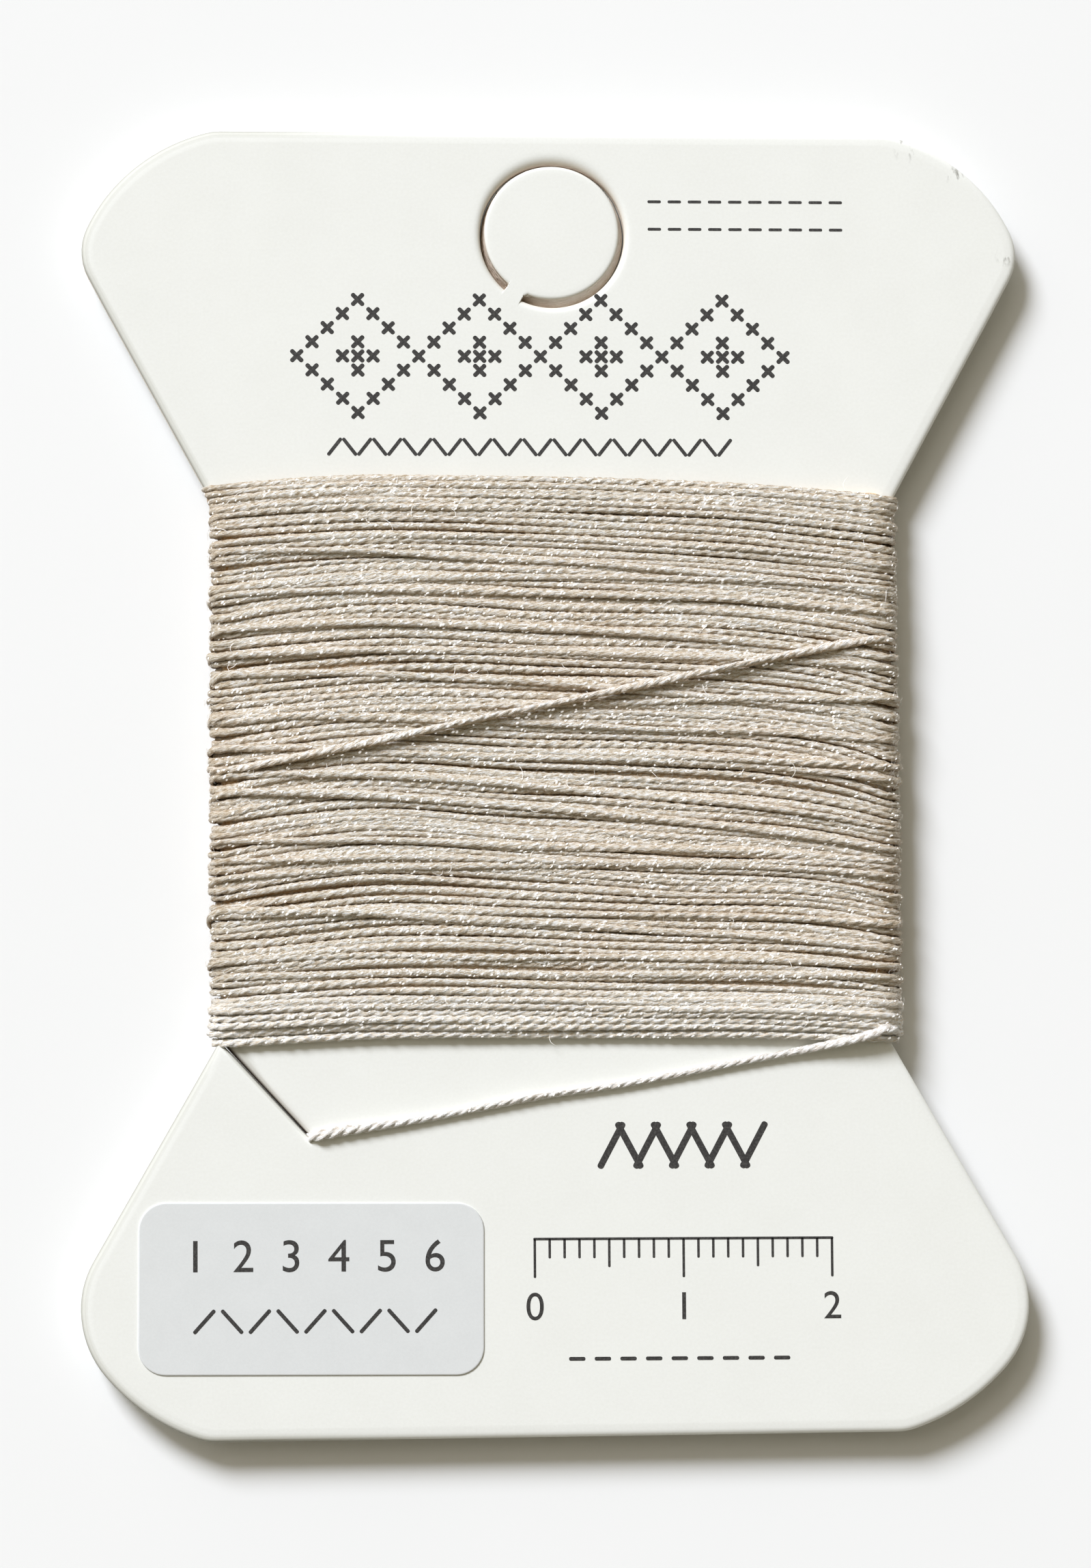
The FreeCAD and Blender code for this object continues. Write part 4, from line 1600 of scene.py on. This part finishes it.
@dataclass
class LooseEnds:
    """What stands out of the thread: foil slivers spun in with it, and stray fibres."""

    seed: int = 31
    half_width: Pair = (0.065, 0.105)
    length: Pair = (0.14, 0.28)
    spacing: float = 1.05
    hair: float = 0.011
    wire: float = 0.024

    def slivers(self, name: str, thread: Thread, finish: Finish) -> None:
        """Lay small domed slivers of foil on the thread's outer side, along its twist.

        Args:
            name: The piece's name.
            thread: The thread.
            finish: The slivers' material.
        """
        rng = np.random.default_rng(self.seed)
        count = int(thread.length / self.spacing)
        middle = np.sort(rng.uniform(1, thread.length - 1, count))
        turn = np.pi / 2 + rng.normal(0, 0.62, count)
        length = rng.uniform(*self.length, count)
        wide = rng.uniform(*self.half_width, count)
        twist = 2 * np.pi / (3.4 * rng.uniform(0.8, 1.6, count))
        rim = [(-0.5, 0.0), (-0.22, -1.0), (0.24, -0.9), (0.5, 0.0), (0.22, 1.0), (-0.24, 0.9)]
        points = []
        for row, side, lift in [(*place, 0.004) for place in rim] + [(0, 0, 0.045), (0, 0, -0.04)]:
            reach = middle + length * row
            angle = turn + twist * length * row + side * wide / thread.half_wide
            points.append(thread.skin(reach, angle, lift))
        faces = []
        for i in range(6):
            faces += [(6, i, (i + 1) % 6), (7, (i + 1) % 6, i)]
        self.scatter(name, np.stack(points, 1), faces, finish)

    def hairs(
        self,
        name: str,
        thread: Thread,
        finish: Finish,
        count: int,
        thick: float,
        edge: bool = False,
    ) -> None:
        """Let stray fibres stand out of the thread.

        Args:
            name: The piece's name.
            thread: The thread.
            finish: Their material.
            count: How many there are.
            thick: Half their thickness in millimetres.
            edge: Whether they are only at the card's edges, where they show against the floor.
        """
        rng = np.random.default_rng(self.seed + count)
        room = np.abs(thread.line[:, 0]) > 22.6
        choice = np.flatnonzero(room if edge else ~room & (thread.line[:, 2] > 2))
        start = thread.reach[rng.choice(choice, count)]
        turn = np.pi / 2 + rng.normal(0, 0.5, count)
        span = rng.uniform(0.2, 0.6, count) if edge else rng.uniform(0.35, 1.3, count)
        lean = rng.normal(0, 0.9 if edge else 1.3, count)
        lift = rng.uniform(0.03, 0.10, count) if edge else rng.uniform(0.01, 0.05, count)
        root = thread.skin(start, turn, -0.03)
        ahead, side, out = (thread.at(start, v) for v in (thread.ahead, thread.side, thread.out))
        way = ahead * np.cos(lean)[:, None] + side * np.sin(lean)[:, None]
        bend = np.cross(way, out) * rng.normal(0, 0.35, count)[:, None]
        rings = []
        steps = np.linspace(0, 1, 6)
        for t in steps:
            arch = 4 * t * (1 - t)
            middle = root + way * (span * t)[:, None] + out * (lift * arch + 0.015)[:, None]
            middle = middle + bend * (span * arch)[:, None]
            size = thick * (0.55 + 0.9 * t * (1 - t))
            for a in (0, 2.1, 4.2):
                rings.append(middle + size * (np.cross(way, out) * math.cos(a) + out * math.sin(a)))
        cloud = np.stack(rings, 1)
        faces = [(0, 1, 2), (17, 16, 15)]
        for r in range(5):
            for c in range(3):
                n = (c + 1) % 3
                faces.append((3 * r + c, 3 * r + 3 + c, 3 * r + 3 + n, 3 * r + n))
        self.scatter(name, cloud, faces, finish)

    def scatter(
        self,
        name: str,
        cloud: np.ndarray,
        faces: Sequence[tuple[int, ...]],
        finish: Finish,
    ) -> None:
        """Make one piece of many small alike shapes.

        Args:
            name: The piece's name.
            cloud: The points of each shape, in millimetres.
            faces: The point numbers of each shape's faces.
            finish: The material.
        """
        count, each = cloud.shape[:2]
        cloud[:, :, 2] = np.maximum(cloud[:, :, 2], 2 * FLOOR_CLEARANCE)
        builder = bmesh.new()
        points = [builder.verts.new(p) for p in cloud.reshape(-1, 3) * MM]
        for k in range(count):
            for face in faces:
                builder.faces.new([points[k * each + i] for i in face])
        builder.normal_update()
        data = bpy.data.meshes.new(name)
        builder.to_mesh(data)
        builder.free()
        data.shade_smooth()
        piece = bpy.data.objects.new(name, data)
        bpy.context.scene.collection.objects.link(piece)
        hand_over(piece, finish, Body.CARD)


@dataclass
class Corner:
    """Three arcs that round one end's corners, from the flat outwards, and its slanted edge."""

    waist: float
    slant: float
    ease: Pair
    sweep: Pair
    nose: float

    def arcs(self) -> list[Pair]:
        """Radius and angle of each arc."""
        rest = 90 + self.slant - self.ease[1] - self.sweep[1]
        return [self.ease, self.sweep, (self.nose, rest)]

    def reach(self, half_height: float, half_waist: float) -> Pair:
        """Half the flat's length and the slanted edge's length.

        Args:
            half_height: Half the card's height.
            half_waist: Half the waist's width.

        Returns:
            Both lengths.
        """
        over = down = turned = 0.0
        for radius, angle in self.arcs():
            first, last = math.radians(turned), math.radians(turned + angle)
            over += radius * (math.sin(last) - math.sin(first))
            down += radius * (math.cos(first) - math.cos(last))
            turned += angle
        slant = math.radians(self.slant)
        drop = half_height - down - self.waist
        return half_waist + drop * math.tan(slant) - over, drop / math.cos(slant)


@dataclass
class HangHole:
    """The punched hole, its disc and the uncut tab between them, in a frame along the tab."""

    centre: Pair = HOLE_CENTRE
    radius: float = 4.92
    disc_radius: float = 4.84
    disc_lean: Pair = (-0.03, 0.22)
    disc_flare: float = 0.25
    tab_angle: float = 236.6
    half_tab: float = 0.64
    fold: float = 4.6
    step: float = 0.22
    fine: float = 0.045
    beyond: float = 0.3
    seam_step: float = 0.002
    seam_lap: float = 0.03

    def ahead(self) -> Vector:
        """The unit vector from the hole's centre along the tab."""
        return heading(self.tab_angle)

    def local(self, point: Vector) -> Pair:
        """How far along the tab and across it a point lies, in millimetres.

        Args:
            point: The point, in metres.

        Returns:
            Both distances.
        """
        flat = Vector((point.x / MM - self.centre[0], point.y / MM - self.centre[1], 0))
        ahead = self.ahead()
        return flat.dot(ahead), flat.dot(Vector((-ahead.y, ahead.x, 0)))

    def world(self, along: float, across: float, height: float) -> Vector:
        """The point at some distances along and across the tab.

        Args:
            along: Millimetres along the tab.
            across: Millimetres across it.
            height: Metres above the floor.

        Returns:
            The point, in metres.
        """
        ahead = self.ahead()
        flat = ahead * along + Vector((-ahead.y, ahead.x, 0)) * across
        return Vector(((flat.x + self.centre[0]) * MM, (flat.y + self.centre[1]) * MM, height))

    def cut(self, radius: float) -> None:
        """Cut a full round, with close points where the tab's sides will be.

        Args:
            radius: Its radius.
        """
        near = math.degrees(math.asin(self.half_tab / radius))
        spread = math.degrees(3 * self.fine / radius)
        stops = [
            (near - spread, self.step),
            (2 * spread, self.fine),
            (360 - 2 * near - 2 * spread, self.step),
            (2 * spread, self.fine),
            (near - spread, self.step),
        ]
        start = self.ahead() * radius + Vector((*self.centre, 0))
        rule = CuttingRule(start.x, start.y, self.tab_angle + 90, self.step)
        for angle, step in stops:
            rule.step = step
            rule.arc(radius, angle)

    def square_tab(self, piece: Piece, radius: float, wide: float, top: float) -> None:
        """Run the rim out square to the fold, level with the face, where the tab isn't cut.

        Args:
            piece: The object in edit mode.
            radius: The radius of its cut round.
            wide: How far its rim reaches in from the cut, in millimetres.
            top: The height of its flat, in millimetres.
        """
        shape = bmesh.from_edit_mesh(piece.data)
        near = {}
        for point in shape.verts:
            along, across = self.local(point.co)
            off = abs(math.hypot(along, across) - radius)
            if along > 3 and abs(across) < self.half_tab and off < wide + self.beyond:
                near[point] = (along, across)
        side = 1 if radius > self.radius - 0.01 else -1
        level = top if side > 0 else top - self.seam_step
        meet = self.fold - (self.seam_lap if side > 0 else 0.0)
        reach = [side * math.hypot(*r) for r in near.values()]
        base, last = min(reach), max(reach)
        for point, (along, across) in near.items():
            share = (side * math.hypot(along, across) - base) / (last - base)
            height = point.co.z if share < 0.01 else level * MM
            point.co = self.world(meet + (along - meet) * share, across, height)
        bmesh.update_edit_mesh(piece.data)


@dataclass
class DieCut:
    """The die's cut lines: the card's outline with its slit, the hang hole, and the hang disc."""

    half_height: float = 44.1
    half_waist: float = 21.7
    top: Corner = field(default_factory=lambda: Corner(16.1, 28.0, (3.7, 15.0), (12.2, 50.0), 3.7))
    low: Corner = field(default_factory=lambda: Corner(16.35, 29.8, (4.0, 18.0), (14.2, 30.0), 6.3))
    arc_step: float = 0.5
    line_step: float = 1.3
    wide_head: float = 0.20
    long_foot: float = 0.27
    foot_skew: float = 0.0085

    def outline(self, slit_width: float) -> None:
        """Cut the card's edge clockwise from the top left, down the right and in at the slit.

        Args:
            slit_width: How wide the slit is.
        """
        top, low = self.top.arcs(), self.low.arcs()
        top_flat, top_edge = self.top.reach(self.half_height, self.half_waist)
        low_flat, low_edge = self.low.reach(self.half_height, self.half_waist)
        neck = self.top.waist + self.low.waist
        rule = CuttingRule(-top_flat, self.half_height, 0.0, self.arc_step)
        self.straight(rule, 2 * top_flat)
        for radius, angle in top:
            rule.arc(radius, -angle)
        self.straight(rule, top_edge)
        rule.turn(self.top.slant)
        self.straight(rule, neck)
        rule.turn(self.low.slant)
        self.straight(rule, low_edge)
        for radius, angle in reversed(low):
            rule.arc(radius, -angle)
        self.straight(rule, 2 * low_flat)
        for radius, angle in low:
            rule.arc(radius, -angle)
        self.slit(rule, low_edge, slit_width)
        rule.turn(self.low.slant)
        self.straight(rule, neck)
        rule.turn(self.top.slant)
        self.straight(rule, top_edge)
        for radius, angle in reversed(top):
            rule.arc(radius, -angle)

    def let_out(self, piece: Piece) -> None:
        """Let the outline out where the real die cuts wide: the head's sides and the foot.

        Args:
            piece: The object in edit mode.
        """

        def let(x: float, y: float, z: float) -> Triple:
            """Where a point goes.

            Args:
                x: Its place to the right, in millimetres.
                y: Its place up.
                z: Its height.

            Returns:
                Its new place.
            """
            side = rise(abs(x), 22, 30) if y > 15 else 0.0
            fall = (self.long_foot - self.foot_skew * x) * rise(-y, 36, 44)
            return x + math.copysign(self.wide_head * side, x), y - fall, z

        move_points(piece, let)

    def straight(self, rule: CuttingRule, length: float) -> None:
        """Cut a straight stretch in pieces that are longer than the rim is wide.

        Args:
            rule: The line.
            length: The stretch's length.
        """
        rule.step = max(length / max(1, int(length / self.line_step)), 1e-3) * 1.0001
        rule.line(length)
        rule.step = self.arc_step

    def slit(self, rule: CuttingRule, edge: float, width: float) -> None:
        """Cut up the lower left edge, with the slit's two lips on the way.

        Args:
            rule: The line, at the foot of that edge.
            edge: The edge's length.
            width: The slit's width.
        """
        foot = rule.place.copy()
        up = rule.ahead()
        way = heading(SLIT_ANGLE)
        across = Vector((-way.y, way.x, 0)) * (width / 2)
        end = Vector((*SLIT_END, 0))
        low_lip, high_lip = end + across, end - across
        turn = up.x * way.y - up.y * way.x

        def meets(lip: Vector) -> float:
            """How far up the edge a lip's line meets it."""
            away = lip - foot
            return (away.x * way.y - away.y * way.x) / turn

        first, second = meets(low_lip), meets(high_lip)
        self.straight(rule, first)
        upward = rule.way
        inward = low_lip - rule.place
        rule.way = math.degrees(math.atan2(inward.y, inward.x))
        self.straight(rule, inward.length)
        rule.turn(90)
        rule.line(width)
        rule.turn(90)
        outward = foot + up * second - rule.place
        self.straight(rule, outward.length)
        rule.way = upward
        self.straight(rule, edge - second)


@dataclass
class Board:
    """One die-cut board of three plies: the card itself or its hang disc."""

    die: DieCut
    hole: HangHole
    body: Body
    prefix: str
    roll_width: float = 0.44
    roll_drop: float = 0.26
    slope: Pair = (0.28, 0.03)
    lip: float = 0.10
    recess: float = 0.03
    mouth_dip: float = 0.13
    hold: float = 0.1
    face_slit: float = 0.11
    core_slit: float = 0.08
    back_slit: float = 0.07

    def cut(self, name: str, height: float, slit: float) -> Piece:
        """Cut one flat ply.

        Args:
            name: The piece's name.
            height: Where the flat lies, in millimetres.
            slit: How wide the slit is in this ply.

        Returns:
            The object, still in edit mode, all its faces selected.
        """
        piece = start_blank(name)
        if self.body is Body.CARD:
            self.die.outline(slit)
        self.hole.cut(self.radius())
        fill_cut_lines(piece, height)
        return piece

    def radius(self) -> float:
        """The radius of this board's round cut."""
        return self.hole.radius if self.body is Body.CARD else self.hole.disc_radius

    def face_liner(self, finish: Finish) -> None:
        """The white paper on the face, rolled over the cut edges.

        Args:
            finish: Its material.
        """
        foot = FACE_Z - self.slope[1] - self.roll_drop - self.lip
        piece = self.cut(self.prefix + "_face_paper", foot, self.face_slit)
        if self.body is Body.HANG_DISC:
            inset(self.hole.disc_flare)
            self.drop_outer_ring()
        extrude(self.lip)
        roll_over(self.roll_width, self.roll_drop, self.slope, self.hold)
        if self.body is Body.CARD:
            self.level_slope(piece)
        self.finish_rim(piece, self.roll_width + self.slope[0] + self.hold, FACE_Z)
        face_outwards()
        shade(piece, 50)
        hand_over(piece, finish, self.body, [self.prefix + "_face_liner"])

    def drop_outer_ring(self) -> None:
        """Take away the strip outside the selected faces, so that the paper starts higher up."""
        bpy.ops.mesh.select_all(action="INVERT")
        bpy.ops.mesh.delete(type="FACE")
        bpy.ops.mesh.select_all(action="SELECT")

    def core(self, finish: Finish) -> None:
        """The pulp board between the papers, its cut walls rough.

        Args:
            finish: Its material.
        """
        piece = self.cut(self.prefix + "_pulp", CORE_Z, self.core_slit)
        wall = FACE_Z - self.roll_drop - self.lip + 0.01 - CORE_Z
        lean = self.hole.disc_flare if self.body is Body.HANG_DISC else 0.0
        for _ in range(4):
            extrude(0.6 * wall / 4)
            inset(0.012 + lean / 4, 0.4 * wall / 4)
        top = FACE_LINER_Z - 0.02 - CORE_Z - wall
        inset(0.17, 0.3 * top)
        inset(0.2, 0.7 * top)
        self.roughen(piece)
        self.finish_rim(piece, 0.42 + lean, FACE_LINER_Z - 0.02)
        face_outwards()
        shade(piece, 35)
        hand_over(piece, finish, self.body, [self.prefix + "_core"])

    def back_liner(self, finish: Finish) -> None:
        """The white paper on the back, with a small burr's edge.

        Args:
            finish: Its material.
        """
        piece = self.cut(self.prefix + "_back_paper", CORE_Z, self.back_slit)
        bpy.ops.mesh.flip_normals()
        extrude(0.05 - LINER_THICK)
        inset(0.02, 0.03)
        inset(0.05, 0.02)
        inset(0.08)
        self.finish_rim(piece, 0.15, BACK_Z)
        face_outwards()
        shade(piece, 40)
        hand_over(piece, finish, self.body, [self.prefix + "_back_liner"])

    def finish_rim(self, piece: Piece, wide: float, top: float) -> None:
        """Give the round its true rim, run it out at the tab and press the slit's mouth down.

        Args:
            piece: The object in edit mode.
            wide: How far the rim reaches in from the cut, in millimetres.
            top: The height of the ply's flat, in millimetres.
        """
        if self.body is Body.CARD:
            self.ease_hole(piece)
            self.die.let_out(piece)
        else:
            self.lean_disc(piece)
        self.hole.square_tab(piece, self.radius(), wide, top)
        self.dip(piece)

    def level_slope(self, piece: Piece) -> None:
        """Take the gentle slope out beside the hole and the slit, whose rims are short.

        Args:
            piece: The object in edit mode.
        """
        along = heading(SLIT_ANGLE)
        shape = bmesh.from_edit_mesh(piece.data)
        for point in shape.verts:
            flat = Vector((point.co.x / MM, point.co.y / MM, 0))
            off = (flat - Vector((*self.hole.centre, 0))).length - self.hole.radius
            flat -= Vector((*SLIT_END, 0))
            off = min(off, (flat - along * max(0.0, flat.dot(along))).length)
            share = rise(off, 1.35, 1.0)
            point.co.z = min(FACE_Z, point.co.z / MM + self.slope[1] * share) * MM
        bmesh.update_edit_mesh(piece.data)

    def ease_hole(self, piece: Piece) -> None:
        """Widen and deepen the hole's rolled rim, most at its upper side.

        Args:
            piece: The object in edit mode.
        """
        shape = bmesh.from_edit_mesh(piece.data)
        x, y = self.hole.centre
        for point in shape.verts:
            flat = Vector((point.co.x / MM - x, point.co.y / MM - y, 0))
            off = flat.length - self.hole.radius
            if off > 1.2:
                continue
            upward = max(0.0, math.cos(math.atan2(flat.y, flat.x) - math.radians(88)))
            wide = 1.05 + 0.85 * upward ** 1.3
            low = FACE_Z - point.co.z / MM
            if low < 0.5:
                point.co.z = (FACE_Z - low * (1.1 + 0.75 * upward)) * MM
            steep = min(off, self.roll_width)
            away = self.hole.radius + steep * wide + off - steep
            point.co.x = (x + flat.x / flat.length * away) * MM
            point.co.y = (y + flat.y / flat.length * away) * MM
        bmesh.update_edit_mesh(piece.data)

    def lean_disc(self, piece: Piece) -> None:
        """Lean the disc's wall, so that it stands out further below its lower side.

        Args:
            piece: The object in edit mode.
        """
        shape = bmesh.from_edit_mesh(piece.data)
        for point in shape.verts:
            share = rise(point.co.z / MM, CORE_Z, CORE_Z + 0.5)
            point.co.x += self.hole.disc_lean[0] * share * MM
            point.co.y += self.hole.disc_lean[1] * share * MM
        bmesh.update_edit_mesh(piece.data)

    def roughen(self, piece: Piece) -> None:
        """Pull the cut walls in a little, unevenly, behind the papers.

        Args:
            piece: The object in edit mode.
        """
        rng = np.random.default_rng(5)
        shape = bmesh.from_edit_mesh(piece.data)
        shape.normal_update()
        for point in shape.verts:
            flat = Vector((point.normal.x, point.normal.y, 0))
            if flat.length > 0.3 and CORE_Z * MM + 1e-6 < point.co.z < (FACE_LINER_Z - 0.05) * MM:
                point.co -= flat.normalized() * (self.recess + 0.02 * rng.standard_normal()) * MM
        bmesh.update_edit_mesh(piece.data)

    def dip(self, piece: Piece) -> None:
        """Press the slit's upper lip down towards its mouth, under the pull of the winding.

        Args:
            piece: The object in edit mode.
        """
        if self.body is not Body.CARD:
            return
        along = heading(SLIT_ANGLE)
        upper = Vector((along.y, -along.x, 0))
        shape = bmesh.from_edit_mesh(piece.data)
        end = Vector((*SLIT_END, 0))
        for point in shape.verts:
            flat = Vector((point.co.x / MM, point.co.y / MM, 0)) - end
            reach, off = flat.dot(along), flat.dot(upper)
            if 0 < reach < 12 and 0 < off < 1.2:
                share = rise(reach, 2.5, 9.0) ** 1.5
                fade = max(0.0, 1 - off / 1.2)
                point.co.z -= self.mouth_dip * share * fade * MM
        bmesh.update_edit_mesh(piece.data)


@dataclass
class Label:
    """The paper label on the lower left of the face, stuck on very slightly askew."""

    centre: Pair = (-16.45, -34.45)
    size: Pair = (23.1, 11.5)
    corner: float = 1.85
    skew: float = -0.25

    def stick_on(self, finish: Finish) -> None:
        """Cut the label and stick it on.

        Args:
            finish: Its material.
        """
        place = Vector((*self.centre, FACE_Z)) * MM
        piece = start_plate("paper_label", place, self.size, self.corner, 10)
        turn_flat(self.skew, place)
        extrude(0.045)
        inset(0.02, 0.035)
        inset(0.05, 0.02)
        inset(0.06)
        face_outwards()
        shade(piece, 45)
        hand_over(piece, finish, Body.CARD, ["label"])


def in_row(x: float, y: float, pitch: float, count: int) -> list[Pair]:
    """Places side by side from the left, in millimetres."""
    return [(x + pitch * i, y) for i in range(count)]


@dataclass
class InkPrint:
    """Plain stitch ornaments and a ruler, where the card and label are printed."""

    finish: Finish
    ink: float = 0.012
    sunk: float = 0.003

    def stroke(
        self, length: float, width: float, angle: float = 0.0, over: bool = False
    ) -> Piece:
        """Draw one round-ended stroke about the origin.

        Args:
            length: Its length in millimetres.
            width: Its width.
            angle: Its slope in degrees.
            over: Whether it lies a trace higher, because it crosses others.

        Returns:
            The stroke, a thin solid.
        """
        piece = start_plate("stroke", Vector(), (length, width), 0.42 * width, 3)
        extrude(self.ink * (1.25 if over else 1.0))
        face_outwards()
        turn_flat(angle, (0, 0, 0))
        bpy.ops.object.mode_set(mode="OBJECT")
        return piece

    def join(self, pieces: Sequence[Piece]) -> Piece:
        """Join some pieces into the first.

        Args:
            pieces: The pieces.

        Returns:
            The joined piece.
        """
        deselect_all()
        for piece in pieces:
            piece.select_set(True)
        bpy.context.view_layer.objects.active = pieces[0]
        if len(pieces) > 1:
            bpy.ops.object.join()
        return pieces[0]

    def repeat(
        self, motif: Piece, places: Sequence[Pair], flip: bool = False
    ) -> list[Piece]:
        """Copy a motif to some places, each copy with its own mesh.

        Args:
            motif: The motif, drawn about the origin; it is used up.
            places: Where the copies go, in millimetres.
            flip: Whether every other copy is mirrored up and down.

        Returns:
            The copies.
        """
        copies = []
        for i, (x, y) in enumerate(places):
            copy = motif.copy()
            copy.data = motif.data.copy()
            bpy.context.scene.collection.objects.link(copy)
            mirror = Matrix.Scale(-1, 4, (0, 1, 0)) if flip and i % 2 else Matrix.Identity(4)
            copy.data.transform(Matrix.Translation(Vector((x, y, 0)) * MM) @ mirror)
            if flip and i % 2:
                copy.data.flip_normals()
            copies.append(copy)
        bpy.data.objects.remove(motif)
        return copies

    def numerals(self, text: str, x: float, y: float, size: float) -> Piece:
        """Set plain numerals.

        Args:
            text: The numerals.
            x: Their middle, in millimetres.
            y: Their foot.
            size: Their height.

        Returns:
            The numerals, a thin solid.
        """
        deselect_all()
        bpy.ops.object.text_add(location=(0, 0, 0))
        piece = bpy.context.object
        piece.data.body = text
        piece.data.size = size / 0.72 * MM
        piece.data.align_x = "CENTER"
        piece.data.extrude = self.ink / 2 * MM
        bpy.ops.object.convert(target="MESH")
        piece = bpy.context.object
        piece.data.transform(Matrix.Translation(Vector((x, y, self.ink / 2)) * MM))
        return piece

    def lay(self, name: str, pieces: Sequence[Piece], height: float, slot: Slot) -> None:
        """Lay joined ink on a surface.

        Args:
            name: The piece's name.
            pieces: The strokes and numerals.
            height: The surface's height in millimetres.
            slot: The slot of the paper that it is printed on; not used.
        """
        piece = self.join(pieces)
        piece.name = piece.data.name = name
        piece.data.transform(Matrix.Translation(Vector((0, 0, height - self.sunk)) * MM))
        hand_over(piece, self.finish, Body.CARD)

    def cross_stitch_band(self) -> None:
        """A band of cross-stitched diamonds on the card's head."""
        cross = self.join([self.stroke(1.14, 0.30, 45), self.stroke(1.14, 0.30, -45, over=True)])
        places = []
        for column in range(33):
            for row in range(9):
                far = abs(column % 8 - 4) + abs(row - 4)
                if far == 4 or far <= 1:
                    places.append((-17.3 + 1.035 * column, 24.75 + 0.97 * row))
        self.lay("cross_stitch_band", self.repeat(cross, places), FACE_Z, Slot.LINER)

    def running_stitches(self) -> None:
        """Rows of small stitches: on the head, beside the hole and at the card's foot."""
        rows = self.repeat(self.stroke(1.5, 0.24, 52), in_row(-14.75, 22.4, 1.02, 27), flip=True)
        beside = in_row(7.1, 39.35, 1.38, 10) + in_row(7.1, 37.45, 1.38, 10)
        rows += self.repeat(self.stroke(0.92, 0.2), beside)
        rows += self.repeat(self.stroke(1.1, 0.26), in_row(1.3, -39.2, 1.72, 9))
        self.lay("running_stitches", rows, FACE_Z, Slot.LINER)

    def herringbone(self) -> None:
        """A bold herringbone stitch on the card's foot."""
        legs = self.repeat(self.stroke(3.5, 0.44, 62), in_row(3.7, -24.95, 2.4, 5))
        legs += self.repeat(self.stroke(3.5, 0.44, -62, over=True), in_row(4.9, -24.95, 2.4, 4))
        self.lay("herringbone", legs, FACE_Z, Slot.LINER)

    def ruler(self) -> None:
        """A plain ruler of 20 mm on the card's foot."""
        left, line = -1.5, -31.2
        parts = [self.stroke(20.2, 0.18)]
        parts[0].data.transform(Matrix.Translation(Vector((left + 10, line, 0)) * MM))
        fine = [i for i in range(21) if i % 5]
        for length, marks in ((1.3, fine), (1.9, (5, 15)), (2.6, (0, 10, 20))):
            places = [(left + i, line - length / 2) for i in marks]
            parts += self.repeat(self.stroke(length, 0.17, 90), places)
        for i in range(3):
            parts.append(self.numerals(str(i), left + 10 * i, -36.6, 1.9))
        self.lay("ruler", parts, FACE_Z, Slot.LINER)

    def label_rows(self) -> None:
        """Plain numerals over a row of stitches on the label."""
        parts = [self.numerals(str(i + 1), -24.2 + 3.2 * i, -33.3, 2.2) for i in range(6)]
        places = in_row(-23.6, -36.6, 1.85, 9)
        parts += self.repeat(self.stroke(2.1, 0.26, 48), places, flip=True)
        self.lay("label_print", parts, FACE_Z + LABEL_THICK, Slot.LABEL)


def main() -> None:
    """Build the set, the thread, the card, the hang disc, the label and the print."""
    logging.basicConfig(level=logging.INFO, format="%(message)s")
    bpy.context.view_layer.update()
    studio = Studio()
    studio.camera()
    studio.lamps()
    studio.surroundings()
    studio.floor()
    soft = GlitterThread().mix()
    # Painted light: a paler copy of the thread for the finishing run, which lies lit against the
    # white card.
    pale = GlitterThread(
        name="finishing_thread",
        body=(0.82, 0.75, 0.65),
        bleached=((0.62, 0.54, 0.45), (0.90, 0.865, 0.81), (1.0, 1.0, 0.98)),
        bleached_y=(-16.5, -17.3),
        grain=(2.0, 1.3),
        fibre=(5.0, 0.5),
    ).mix()
    # Painted light: a brighter, more saturated copy of the thread for the layer in shade, as
    # bounced light; on the card's back it is toned down darker and cooler.
    shaded = GlitterThread(
        name="under_thread",
        deep=(0.60, 0.44, 0.28),
        body=(0.86, 0.70, 0.50),
        dip=(0.92, 0.76, 0.55),
        behind=(0.62, 0.68, 0.80),
    ).mix()
    run = FinishingRun().lay_down(pale)
    winding = Winding()
    turns = winding.wind(soft)
    winding.wind_under(shaded)
    winding.heart(shaded)
    loose, foil, fibre = LooseEnds(), BRIGHT_FILAMENT.mix(), LOOSE_FIBRE.mix()
    loose.slivers("turn_slivers", turns, foil)
    loose.slivers("finishing_slivers", run, foil)
    loose.hairs("stray_fibres", turns, fibre, 500, loose.hair)
    loose.hairs("stray_foil", turns, foil, 170, loose.wire)
    loose.hairs("edge_fuzz", turns, fibre, 1600, loose.hair, edge=True)
    paper, pulp = LinerPaper().mix(), PulpBoard().mix()
    die, hole = DieCut(), HangHole()
    card = Board(die, hole, Body.CARD, "card")
    disc = Board(
        die, hole, Body.HANG_DISC, "hang_disc", roll_width=0.26, roll_drop=0.16, slope=(0.2, 0.008)
    )
    for board in (card, disc):
        board.face_liner(paper)
        board.core(pulp)
        board.back_liner(paper)
    Label().stick_on(LabelPaper().mix())
    ink = InkPrint(PRINT_INK.mix())
    ink.cross_stitch_band()
    ink.running_stitches()
    ink.herringbone()
    ink.ruler()
    ink.label_rows()


if __name__ == "__main__":
    main()
